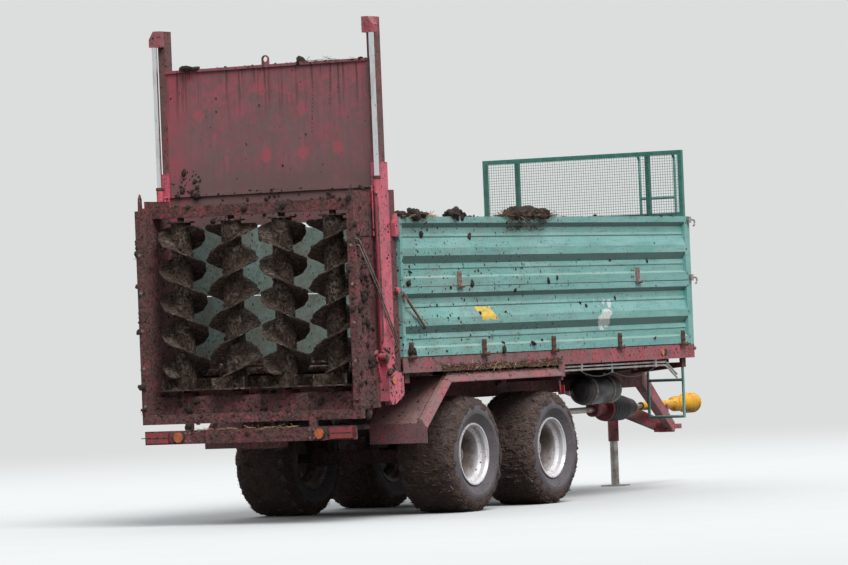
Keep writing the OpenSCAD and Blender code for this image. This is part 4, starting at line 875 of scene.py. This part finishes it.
# Dirt and straw on the body: columns are name, kind, nodes, corners of the rays' starts, heading, count, size range
# in metres, flatness of clods or lift of straws, finish, and the length from the box's rear over which they thin
# out; with 0 they lie evenly, with None in clumps
STREWN = [
    ("rim_heap_clods", clods, "board_right_upper", (1.72, -0.965, 2.5), (2.42, -0.91, 2.5), DOWN, 64,
     (0.014, 0.085), 0.75, "manure", 0),
    ("rim_heap_straw", straws, "board_right_upper", (1.65, -0.957, 2.5), (2.5, -0.9, 2.5), DOWN, 420, (0.05, 0.17),
     0.05, "dark_straw", 0),
    ("rim_heap_pale_straw", straws, "board_right_upper", (1.7, -0.955, 2.5), (2.4, -0.9, 2.5), DOWN, 200,
     (0.04, 0.14), 0.045, "straw", 0),
    ("rim_heap_fall", straws, "board_right_upper", (1.75, -1.5, 2.12), (2.35, -1.5, 2.225), LEFTWARD, 170,
     (0.03, 0.13), 0.02, "dark_straw", None),
    ("rim_lump", clods, "board_right_upper", (0.86, -0.95, 2.5), (1.1, -0.91, 2.5), DOWN, 18, (0.02, 0.08), 0.8,
     "manure", 0),
    ("rim_rear_straw", straws, "board_right_upper", (0.02, -0.953, 2.5), (0.55, -0.908, 2.5), DOWN, 220,
     (0.04, 0.14), 0.035, "straw", 0),
    ("rim_rear_clods", clods, "board_right_upper", (0.0, -0.95, 2.5), (0.42, -0.91, 2.5), DOWN, 30, (0.012, 0.07),
     0.7, "manure", 0),
    ("rim_crumbs_right", clods, "board_right_upper", (0.02, -0.95, 2.5), (4.8, -0.91, 2.5), DOWN, 170,
     (0.005, 0.02), 0.6, "manure", None),
    ("rim_crumbs_left", clods, "board_left_upper", (0.02, 0.91, 2.5), (4.8, 0.95, 2.5), DOWN, 170, (0.005, 0.03),
     0.6, "manure", None),
    ("upper_right_clods", clods, "board_right_upper", (0.0, -1.5, 1.72), (4.8, -1.5, 2.22), LEFTWARD, 420,
     (0.004, 0.017), 0.45, "manure", 2.6),
    ("lower_right_clods", clods, "board_right_lower", (0.0, -1.5, 1.2), (4.8, -1.5, 1.7), LEFTWARD, 460,
     (0.004, 0.019), 0.45, "manure", 2.6),
    ("upper_left_clods", clods, "board_left_upper", (0.0, 1.5, 1.72), (4.8, 1.5, 2.22), RIGHTWARD, 380,
     (0.004, 0.017), 0.45, "manure", 2.6),
    ("lower_left_clods", clods, "board_left_lower", (0.0, 1.5, 1.2), (4.8, 1.5, 1.7), RIGHTWARD, 420,
     (0.004, 0.019), 0.45, "manure", 2.6),
    ("lower_right_ledge", straws, "board_right_lower", (0.1, -1.5, 1.2), (4.2, -1.5, 1.45), LEFTWARD, 160,
     (0.02, 0.07), 0.01, "dark_straw", 3.0),
    ("sill_clods", clods, "sills", (0.0, -1.5, 1.08), (4.9, -1.5, 1.18), LEFTWARD, 160, (0.004, 0.014), 0.5,
     "manure", 3.4),
    ("sill_straw_right", straws, SILL_SIDE, (0.58, -1.5, 1.058), (2.52, -1.5, 1.108), LEFTWARD, 300, (0.02, 0.09),
     0.004, "straw", 0),
    ("sill_soaked_right", straws, SILL_SIDE, (0.58, -1.5, 1.058), (2.52, -1.5, 1.12), LEFTWARD, 520, (0.02, 0.09),
     0.004, "dark_straw", 0),
    ("sill_mud_right", clods, SILL_SIDE, (0.58, -1.5, 1.058), (2.52, -1.5, 1.1), LEFTWARD, 300, (0.004, 0.015),
     0.35, "mud", 0),
    ("sill_straw_left", straws, SILL_SIDE, (0.58, 1.5, 1.058), (2.52, 1.5, 1.108), RIGHTWARD, 520, (0.02, 0.09),
     0.004, "straw", 0),
    ("fender_clods_right", clods, "fenders", (0.62, -0.93, 1.069), (2.5, -0.88, 1.069), DOWN, 150, (0.005, 0.016),
     0.5, "mud", 0),
    ("fender_clods_left", clods, "fenders", (0.62, 0.88, 1.069), (2.5, 0.93, 1.069), DOWN, 150, (0.005, 0.016),
     0.5, "mud", 0),
    ("fender_straw_right", straws, "fenders", (0.62, -0.935, 1.069), (2.5, -0.88, 1.069), DOWN, 240, (0.02, 0.08),
     0.005, "dark_straw", 0),
    ("slope_dirt", clods, "fenders", (0.2, -0.95, 1.1), (0.75, -0.5, 1.1), DOWN, 60, (0.004, 0.02), 0.4, "mud",
     None),
    ("unit_crust_rear", clods, UNIT, (-1.4, -0.96, 0.62), (-1.4, 0.96, 2.6), FORWARD, 620, (0.006, 0.035), 0.6,
     "manure", None),
    ("unit_crust_right", clods, UNIT, (-0.66, -1.5, 0.7), (-0.29, -1.5, 2.2), LEFTWARD, 420, (0.006, 0.035), 0.6,
     "manure", None),
    ("unit_crust_left", clods, UNIT, (-0.66, 1.5, 0.7), (-0.29, 1.5, 2.2), RIGHTWARD, 300, (0.006, 0.03), 0.6,
     "manure", None),
    ("unit_crust_inside", clods, "unit_sides", (-0.66, 0.0, 0.9), (-0.3, 0.0, 2.1), LEFTWARD, 160, (0.006, 0.014),
     0.6, "manure", None),
    ("unit_straw_rear", straws, UNIT, (-1.4, -0.96, 0.6), (-1.4, 0.96, 2.5), FORWARD, 420, (0.02, 0.1), 0.02,
     "dark_straw", None),
    ("unit_straw_right", straws, UNIT, (-0.66, -1.5, 0.7), (-0.32, -1.5, 2.2), LEFTWARD, 300, (0.02, 0.07), 0.01,
     "dark_straw", None),
    ("unit_top_dirt", clods, UNIT, (-0.68, -0.93, 2.7), (-0.3, 0.93, 2.7), DOWN, 140, (0.006, 0.03), 0.6, "manure",
     None),
    ("gearbox_dirt", clods, "beater_gearbox", (-0.53, -0.86, 1.0), (-0.36, 0.86, 1.0), DOWN, 160, (0.006, 0.02),
     0.4, "manure", None),
    ("light_board_straw", straws, "light_board", (-0.67, -0.9, 0.9), (-0.64, 0.9, 0.9), DOWN, 90, (0.03, 0.14),
     0.03, "straw", None),
    ("portal_clods", clods, "rear_portal", (-0.22, -1.5, 0.85), (-0.01, -1.5, 2.2), LEFTWARD, 150, (0.004, 0.014),
     0.4, "manure", None),
    ("foot_clods", clods, "rear_portal cylinder_barrels", (-0.34, -1.5, 1.06), (-0.1, -1.5, 1.26), LEFTWARD, 70,
     (0.01, 0.04), 0.6, "mud", None),
    ("gate_top_left", clods, "gate", (-0.24, 0.58, 3.6), (-0.2, 0.7, 3.6), DOWN, 120, (0.01, 0.05), 0.5, "manure",
     None),
    ("gate_top_middle", clods, "gate", (-0.24, -0.4, 3.36), (-0.2, 0.2, 3.36), DOWN, 60, (0.006, 0.025), 0.5,
     "manure", None),
    ("gate_top_crumbs", clods, "gate", (-0.25, -0.86, 3.6), (-0.19, 0.86, 3.6), DOWN, 110, (0.005, 0.024), 0.5,
     "manure", None),
    ("gate_top_straw", straws, "gate", (-0.24, -0.8, 3.6), (-0.2, -0.3, 3.6), DOWN, 60, (0.03, 0.11), 0.03,
     "dark_straw", None),
    ("gate_face_left", clods, "gate", (-1.2, 0.6, 2.44), (-1.2, 0.84, 2.66), FORWARD, 70, (0.006, 0.032), 0.45,
     "manure", None),
    ("gate_face_clods", clods, "gate gate_rails", (-1.2, -0.9, 2.2), (-1.2, 0.9, 3.4), FORWARD, 90, (0.004, 0.015),
     0.45, "manure", None),
    ("gate_foot_clods", clods, "gate", (-1.2, -0.86, 2.21), (-1.2, 0.86, 2.46), FORWARD, 170, (0.006, 0.028), 0.5,
     "manure", None),
    ("floor_litter", clods, "floor floor_slats floor_chains", (0.05, -0.85, 1.6), (4.6, 0.85, 1.6), DOWN, 420,
     (0.008, 0.05), 0.45, "manure", None),
    ("floor_straw", straws, "floor floor_slats floor_chains", (0.05, -0.85, 1.6), (4.6, 0.85, 1.6), DOWN, 420,
     (0.04, 0.15), 0.02, "dark_straw", None),
    ("frame_mud_side", clods, "chassis_frame axles leaf_springs bolsters", (0.1, -1.5, 0.4), (4.9, -1.5, 1.03),
     LEFTWARD, 260, (0.006, 0.03), 0.5, "mud", None),
    ("frame_mud_top", clods, "axles leaf_springs drawbar air_tank", (0.4, -0.9, 0.84), (6.3, 0.9, 0.84), DOWN, 420,
     (0.006, 0.028), 0.4, "mud", None),
    ("step_mud", clods, "ladder_rungs", (5.0, -0.78, 2.0), (5.06, -0.44, 2.0), DOWN, 40, (0.004, 0.012), 0.6,
     "mud", None),
]


# How far the crust stays from the beaters' ends and from their flights' rims, which pass other pieces closely
BEATER_ENDS, BEATER_RIM = 0.14, 0.05
# How far from the beaters' faces and from the box's middle rays start
BEATER_RAYS, SIDE_RAYS = 0.3, 1.5


def strew_all():
    """Lays out every row of the table, and the crust on the beaters."""
    for name, make, nodes, low, high, heading, count, sizes, shape, look, fade in STREWN:
        strew(name, make, nodes, on(*low), on(*high), heading, count, sizes, shape, look, sticking(fade))
    for k in range(1, 5):
        beater = "beater_%d" % k
        low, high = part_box(beater)
        foot, head = low.z + BEATER_ENDS, high.z - BEATER_ENDS
        inner, outer = low.y + BEATER_RIM, high.y - BEATER_RIM
        for word, heading, x in (("_rear", FORWARD, low.x - BEATER_RAYS), ("_front", BACKWARD, high.x + BEATER_RAYS)):
            rays = beater, (x, inner, foot), (x, outer, head), heading
            strew(beater + word + "_crust", clods, *rays, 170, (0.006, 0.024), 0.5, "manure")
            strew(beater + word + "_straw", straws, *rays, 150, (0.03, 0.08), 0.01, "dark_straw")


def strew(name, make, nodes, low, high, heading, count, sizes, shape, look, keep=clumped):
    """One piece of clods or straws, laid where rays meet the nodes."""
    seed = sum(name.encode())
    nodes = nodes.split()
    spots = strewn(nodes, tuple(low), tuple(high), heading, count, seed, keep)
    if len(spots[0]):
        piece(name, make(spots, *sizes, shape, seed), look, BODY_OF[nodes[0]], make is clods)


# Single lumps that show in the picture: columns are X in front of the box's rear, Z, radius
BOARD_LUMPS = {
    "board_right_lower": [(0.0875, 1.24, 0.045), (0.16, 1.22, 0.03), (1.5675, 1.21, 0.028), (2.0475, 1.25, 0.03),
                          (0.34, 1.4, 0.018), (0.7, 1.466, 0.014), (1.789, 1.661, 0.02), (3.537, 1.575, 0.022),
                          (2.923, 1.545, 0.02), (3.006, 1.52, 0.018), (4.168, 1.244, 0.018), (0.662, 1.22, 0.016),
                          (0.582, 1.565, 0.014), (2.253, 1.268, 0.02), (1.591, 1.259, 0.02), (1.025, 1.596, 0.013)],
    "board_right_upper": [(1.0975, 1.717, 0.034), (2.3475, 1.72, 0.026), (1.129, 2.07, 0.026), (0.951, 1.838, 0.018),
                          (0.379, 2.096, 0.026), (0.186, 1.815, 0.022), (0.103, 1.735, 0.03), (2.497, 1.746, 0.022),
                          (1.986, 1.836, 0.012), (4.136, 1.864, 0.018), (3.476, 1.878, 0.016), (4.239, 2.009, 0.012),
                          (0.049, 1.809, 0.022)],
}
# Lumps along the gate's upper edge: columns are Y, radius
GATE_LUMPS = [(0.69, 0.03), (0.63, 0.055), (0.57, 0.04), (0.08, 0.035), (0.04, 0.024), (-0.3, 0.04), (-0.36, 0.06)]


def throw_lumps():
    """The largest lumps on the right boards and the gate's upper edge."""
    for name, rows in BOARD_LUMPS.items():
        lay_lumps(name, [(on(x, -SIDE_RAYS, z), LEFTWARD, r) for x, z, r in rows], 0.55)
    lay_lumps("gate", [(on(-0.212, y, 3.6), DOWN, r) for y, r in GATE_LUMPS], 0.85)


def lay_lumps(node, rows, flat):
    """One lump of the given radius where each row's ray meets the node."""
    lumps = []
    for k, (start, heading, radius) in enumerate(rows):
        hit, normal, _, _ = surface_of((node,)).ray_cast(start, Vector(heading))
        if hit:
            facing_ray = normal if normal.dot(Vector(heading)) < 0 else -normal
            lumps.append(clods(([np.array(hit)], [np.array(facing_ray)]), radius, radius, flat, k))
    piece("lumps_on_" + node, joined(lumps), "manure", BODY_OF[node], True)


# Fittings


def bolt_head(radius):
    """A hexagon head on its washer."""
    return joined([turned([(radius * 1.5, 0), (radius * 1.5, radius * 0.25)], 12),
                   turned([(radius, radius * 0.25), (radius, radius * 0.95), (radius * 0.85, radius * 1.1)], 6)])


def bolts(name, places, radius, towards, body="chassis", look="nut"):
    """Bolt heads at these places, all facing one way."""
    piece(name, joined([set_at(bolt_head(radius), p, towards, 0.4 * k) for k, p in enumerate(places)]), look, body)


SIDES = ((-1, "right"), (1, "left"))
# Hinge straps and their bolts: X of the lower boards' straps and of the upper ones' hooks, and the bolts' offset
STRAPS = [0.11 + i * 1.1425 for i in range(5)]
HOOKS = [0.9, 3.8]
PAIR = (-0.017, 0.017)
BOARD_ENDS = (0.025, 4.815)
# Bolts on each side of the box: columns are name, X, Z, distance from the middle, radius, body, finish
SIDE_BOLTS = [
    ("lower_strap", [x + d for x in STRAPS for d in PAIR], (1.225, 1.272), 0.961, 0.007, "board_{}_lower", "rust"),
    ("middle_strap", [x + d for x in HOOKS for d in PAIR], (1.745, 1.793), 0.961, 0.006, "board_{}_upper", "hook"),
    ("board_end", BOARD_ENDS, (1.76, 1.96, 2.17), 0.953, 0.006, "board_{}_upper", "nut"),
    ("board_foot", BOARD_ENDS, (1.24, 1.45, 1.66), 0.953, 0.006, "board_{}_lower", "nut"),
    ("column", (-0.21, -0.13, -0.05), (0.94, 1.03), 0.951, 0.009, "chassis", "nut"),
    ("sill", (0.5, 1.6, 2.7, 3.9, 4.8), (1.1, 1.15), 0.948, 0.007, "chassis", "nut"),
]


def dress_boards():
    """Bolts on both sides of the box, and the split pins of the hinge straps."""
    for side, word in SIDES:
        for name, xs, zs, y, radius, body, look in SIDE_BOLTS:
            places = [on(x, side * y, z) for x in xs for z in zs]
            bolts(name + "_bolts_" + word, places, radius, (0, side, 0), body.format(word), look)
        pin = turned([(0.0035, 0), (0.0035, 0.034)], 6)
        pins = [set_at(pin, on(x + d, side * 0.973, 1.169)) for x in STRAPS for d in (-0.0455, 0.0455)]
        piece("split_pins_" + word, joined(pins), "rust")


# The lower of the two rods that lock the unit, from its post over the corner post to the foot
LOCK_ROD = [(-0.63, -0.905, 2.03), (-0.6115, -0.957, 2.019), (-0.3715, -0.967, 1.689), (-0.2935, -0.968, 1.545),
            (-0.0925, -0.967, 1.246), (-0.075, -0.925, 1.22)]
LOCK_ROD_GAP = 0.045
# The jack's crank, from the middle of its cap
CRANK = [(0, 0, 0.03), (0, 0, 0.07), (0, 0.02, 0.085), (0, 0.13, 0.085), (0, 0.15, 0.1), (0, 0.15, 0.17)]


def dress_frame():
    """Bolts, pipes and rods of the frame and the unit, the tank's bands and the jack's crank."""
    plate_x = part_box("drawbar")[1].x + 0.02
    bolts("hitch_bolts", [(plate_x, y, 0.48 + z) for y in (-0.044, 0.044) for z in (-0.026, 0.026)], 0.009, FORWARD)
    bolts("light_board_bolts", [on(-0.665, s * (0.53 + d), 0.662 + z) for s in (-1, 1) for d in (-0.018, 0.018)
                                for z in (-0.03, 0.03)], 0.006, BACKWARD)
    bolts("unit_post_bolts", [on(-0.635, s * 0.904, z) for s in (-1, 1) for z in np.arange(0.9, 2.3, 0.28)], 0.009,
          BACKWARD)
    barrel_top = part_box("cylinder_barrels")[1].z
    for side, word in SIDES:
        pipe = [on(-0.292, side * 0.94, 1.3), on(-0.296, side * 0.955, 1.34), on(-0.296, side * 0.955, 2.36),
                on(-0.29, side * 0.945, 2.4)]
        port = set_at(turned([(0.012, 0), (0.012, 0.014), (0.009, 0.02)], 6), on(-0.288, side * 0.936, 2.4),
                      (-0.6, 0.5 * side, 0))
        piece("cylinder_pipe_" + word, joined([swept(pipe, 0.0045, 6), port]), "linkage", "chassis", True)
        gland = turned([(0.0275, 0), (0.03, 0.004), (0.03, 0.02), (0.024, 0.024)], 20)
        piece("cylinder_gland_" + word, set_at(gland, on(-0.264, side * 0.933, barrel_top - 0.004)), "rust")
    rods = [swept([on(x, y, z + lift) for x, y, z in LOCK_ROD], 0.006) for lift in (0.0, LOCK_ROD_GAP)]
    piece("lock_linkage", joined(rods), "linkage", "chassis", True)
    low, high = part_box("air_tank")
    middle = Vector(((low.x + high.x) / 2, -0.64, low.z + 0.115))
    ring = [(0, 0.117 * math.cos(a), 0.117 * math.sin(a)) for a in np.linspace(0, 2 * math.pi, 41)]
    bands = [swept([middle + Vector((shift, 0, 0)) + Vector(p) + Vector((d, 0, 0)) for p in ring], 0.003, 5)
             for shift in (-0.19, 0.12) for d in (-0.012, -0.004, 0.004, 0.012)]
    piece("tank_bands", joined(bands), "nut")
    low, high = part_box("jack_tube")
    head = Vector(((low.x + high.x) / 2, (low.y + high.y) / 2, high.z))
    cap = set_at(turned([(0.047, 0), (0.05, 0.006), (0.05, 0.03), (0.03, 0.042), (0.012, 0.046)], 24), head)
    crank = swept([head + Vector(d) for d in CRANK], 0.008)
    grip = set_at(turned([(0.014, 0), (0.017, 0.02), (0.017, 0.08), (0.013, 0.1)], 16), head + Vector((0, 0.15, 0.1)))
    piece("jack_crank", joined([cap, crank]), "zinc", "chassis", True)
    piece("jack_grip", grip, "black", "chassis", True)


# Ribs and folds of the shaft's guards: columns are name, finish, smooth, and rows of profile, sides and places, from
# the yellow guard's front end or the black one's rear end
GUARD_RIBS = [
    ("bell_ribs", "yellow", False, [
        ([(0.0825, 0), (0.086, 0.003), (0.086, 0.008), (0.0825, 0.011)], 48, (-0.02, -0.06, -0.1, -0.14)),
        ([(0.0585, 0), (0.0645, 0.003), (0.0645, 0.009), (0.0605, 0.012)], 40, (-0.36, -0.3, -0.24))]),
    ("joint_folds", "black", True, [
        ([(0.09, 0), (0.1055, 0.006), (0.1055, 0.01), (0.09, 0.016)], 48, (0.03, 0.08, 0.13, 0.18, 0.23, 0.28))]),
]


def dress_shaft():
    """Ribs of the yellow bell and folds of the black one."""
    low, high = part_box("shaft_guard")
    z = (low.z + high.z) / 2
    for name, look, smooth, kinds in GUARD_RIBS:
        end = high.x if look == "yellow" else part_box("joint_guard")[0].x
        ribs = [hollow(set_at(turned(profile, sides), (end + d, 0, z), FORWARD))
                for profile, sides, places in kinds for d in places]
        piece(name, joined(ribs), look, "chassis", smooth)


def hollow(shape):
    """A turned shape without its two end faces."""
    return shape[0], [f for f in shape[1] if len(f) == 4]


# Plain films left on the right lower board, as corners that decal takes
YELLOW_MARKING = [(1.25, 1.44), (1.51, 1.44), (1.41, 1.55), (1.16, 1.545)]
WHITE_MARKING = [(3.2, 1.33), (3.43, 1.32), (3.46, 1.565), (3.15, 1.57)]


# A film's distance from the enamel
FILM_GAP = 0.0009


def decal(name, node, corners, look, torn):
    """A thin film that follows a board's outer face, with ragged edges; torn is the share that has come off.

    Corners are lower rear, lower front, upper front, upper rear, each X in front of the box's rear and Z.
    """
    tree, across, up = surface_of((node,)), 36, 30
    a, b, c, d = (np.array(p) for p in corners)
    points, faces = [], []
    for k in range(up + 1):
        for i in range(across + 1):
            u, v = i / across, k / up
            x, z = (a * (1 - u) + b * u) * (1 - v) + (d * (1 - u) + c * u) * v
            hit = tree.ray_cast(on(x, -SIDE_RAYS, z), Vector(LEFTWARD))
            points.append(list(hit[0] + Vector((0, -FILM_GAP, 0))))
            edge = min(u, 1 - u, v, 1 - v) * 3
            if i and k and noise.noise(Vector((x * 13, 0.7, z * 17))) + edge > torn:
                faces.append((len(points) - 1, len(points) - 2, len(points) - across - 3, len(points) - across - 2))
    piece(name, (np.array(points), faces), look, BODY_OF[node])


def dress_lamps():
    """Rims round the amber lamps and the frames of the rear clusters."""
    sill_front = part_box("sills")[1].x - REAR
    rims = []
    for side in (-1, 1):
        # Columns: radius at the foot, height, radius of the lip, place, direction
        for foot, height, lip, place, towards in (
                (0.034, 0.006, 0.0305, (-0.17, side * 0.951, 1.026), (0, side, 0)),
                (0.026, 0.006, 0.0225, (sill_front - 0.6, side * 0.948, 1.126), (0, side, 0)),
                (0.043, 0.01, 0.0385, (-0.667, side * 0.6, 0.662), BACKWARD)):
            rim = turned([(foot, 0), (foot, height), (lip, height + 0.002)], 24)
            rims.append(set_at(rim, on(*place), towards))
        for y in (0.69, 0.753, 0.816, 0.88):
            rims.append(set_at(slab((0.084, 0.006, 0.003), 0.001), on(-0.685, side * y, 0.662), BACKWARD))
    piece("lamp_rims", joined(rims), "black")


CABLE_DIAMETER = 0.008


def slack(name, start, end, drop):
    """A cable that hangs between two clips."""
    t = np.linspace(0, 1, 25)[:, None]
    line = np.array(start) * (1 - t) + np.array(end) * t
    line[:, 2] -= drop * 4 * (t * (1 - t))[:, 0]
    data = bpy.data.curves.new(name, "CURVE")
    data.dimensions = "3D"
    data.bevel_depth = CABLE_DIAMETER / 2
    spline = data.splines.new("POLY")
    spline.points.add(len(line) - 1)
    for point, place in zip(spline.points, line):
        point.co = (*place, 1)
    data.materials.append(MATERIALS["black"])
    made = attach(placed(name, data), "chassis")


def hang_cable():
    """The lamp cable below the brake pipes, in two bights between three clips."""
    clip = set_at(slab((0.03, 0.006, 0.088), 0.002), on(3.44, -0.925, 0.984))
    piece("cable_clip", clip, "guard")
    slack("lamp_cable_rear", on(2.9, -0.925, 1.009), on(3.426, -0.925, 0.99), 0.035)
    slack("lamp_cable_front", on(3.454, -0.925, 0.99), on(4.205, -0.925, 1.009), 0.055)


# Camera, light and floor


def make_camera():
    """The photograph's viewpoint."""
    level = math.cos(CAMERA_RISE)
    heading = Vector((level * math.cos(CAMERA_HEADING), level * math.sin(CAMERA_HEADING), math.sin(CAMERA_RISE)))
    side = heading.cross(Vector((0, 0, 1))).normalized()
    up = side.cross(heading)
    right = math.cos(CAMERA_ROLL) * side + math.sin(CAMERA_ROLL) * up
    top = math.cos(CAMERA_ROLL) * up - math.sin(CAMERA_ROLL) * side
    data = bpy.data.cameras.new("camera")
    data.sensor_width = SENSOR_MM
    data.lens = FOCAL_PIXELS * SENSOR_MM / PICTURE[0]
    data.clip_end = 2000
    camera = placed("camera", data)
    turn = Matrix((right, top, -heading)).transposed()
    camera.matrix_world = Matrix.Translation(CAMERA_PLACE) @ turn.to_4x4()
    bpy.context.scene.camera = camera


def seen_directly(tree):
    """1 for what the camera, a mirror or glass sees, 0 for light that falls on the object."""
    path = add(tree, "LightPath")
    seen = add(tree, "Math", {"operation": "MAXIMUM"},
               {0: path.outputs["Is Camera Ray"], 1: path.outputs["Is Glossy Ray"]})
    return add(tree, "Math", {"operation": "MAXIMUM"},
               {0: seen.outputs[0], 1: path.outputs["Is Transmission Ray"]}).outputs[0]


# Soft lamps: columns are name, strength, spread in degrees, direction towards the lamp
LAMPS = [("key", 3.0, 35, (-0.55, -0.8, 1.2)), ("fill", 0.25, 80, (0.9, 0.5, 0.8))]


def make_studio():
    """A pale room: soft light from above, a plain backdrop, and a floor that fades into it."""
    scene = bpy.context.scene
    scene.view_settings.view_transform = "Standard"
    scene.world = bpy.data.worlds.new("studio")
    tree = bare_tree(scene.world)
    coords = add(tree, "TexCoord")
    split = add(tree, "SeparateXYZ", {}, {"Vector": coords.outputs["Generated"]})
    rise = add(tree, "MapRange", {}, {"Value": split.outputs[2], "From Min": -0.05, "From Max": 0.9,
                                      "To Min": 0.22, "To Max": 1.35})
    light = add(tree, "Background", {}, {"Color": lin("#eef2f6"), "Strength": rise.outputs[0]})
    plain = add(tree, "Background", {}, {"Color": lin(BACKDROP), "Strength": 1.0})
    shown = add(tree, "MixShader", {}, {0: seen_directly(tree), 1: light.outputs[0], 2: plain.outputs[0]})
    add(tree, "OutputWorld", {}, {"Surface": shown.outputs[0]})
    for name, strength, spread, towards in LAMPS:
        data = bpy.data.lights.new(name, "SUN")
        data.energy = strength
        data.angle = math.radians(spread)
        placed(name, data).rotation_euler = Vector(towards).to_track_quat("Z", "Y").to_euler()
    make_floor()


# Distances over which the floor fades to the backdrop, its half width, and how dark its light on the object is
FLOOR_FADE, FLOOR_REACH, FLOOR_BOUNCE = (6.0, 26.0), 400, "#3b3633"


def make_floor():
    """The pale floor, which keeps the object's shadow near it and fades to the backdrop far off."""
    material = bpy.data.materials.new("pale_studio_floor")
    tree = bare_tree(material)
    coords = add(tree, "TexCoord")
    far = add(tree, "VectorMath", {"operation": "LENGTH"}, {0: coords.outputs["Object"]})
    fade = add(tree, "MapRange", {"interpolation_type": "SMOOTHSTEP"},
               {"Value": far.outputs["Value"], "From Min": FLOOR_FADE[0], "From Max": FLOOR_FADE[1]})
    cloud = add(tree, "TexNoise", {}, {"Vector": coords.outputs["Object"], "Scale": per(900), "Detail": 3.0})
    tone = add(tree, "Mix", {"data_type": "RGBA"}, {0: cloud.outputs[0], 6: lin("#bfc0bf"), 7: lin("#c4c5c4")})
    near, distant = [add(tree, "Mix", {"data_type": "RGBA"}, {0: seen_directly(tree), 6: lin(FLOOR_BOUNCE), 7: shade})
                     for shade in (tone.outputs[2], lin(BACKDROP))]
    matt = add(tree, "BsdfDiffuse", {}, {"Color": near.outputs[2]})
    glow = add(tree, "Emission", {}, {"Color": distant.outputs[2], "Strength": 1.0})
    shown = add(tree, "MixShader", {}, {0: fade.outputs[0], 1: matt.outputs[0], 2: glow.outputs[0]})
    add(tree, "OutputMaterial", {}, {"Surface": shown.outputs[0]})
    r = FLOOR_REACH
    mesh = bpy.data.meshes.new("floor_plane")
    mesh.from_pydata([(-r, -r, 0), (r, -r, 0), (r, r, 0), (-r, r, 0)], [], [(0, 1, 2, 3)])
    mesh.materials.append(material)
    placed("studio_floor", mesh)


make_camera()
make_studio()
dress_nodes()
dress_wheels()
dress_boards()
dress_frame()
dress_shaft()
dress_lamps()
decal("marking_yellow", "board_right_lower", YELLOW_MARKING, "film_yellow", 0.1)
decal("marking_torn", "board_right_lower", WHITE_MARKING, "film_white", 0.42)
hang_cable()
throw_lumps()
strew_all()
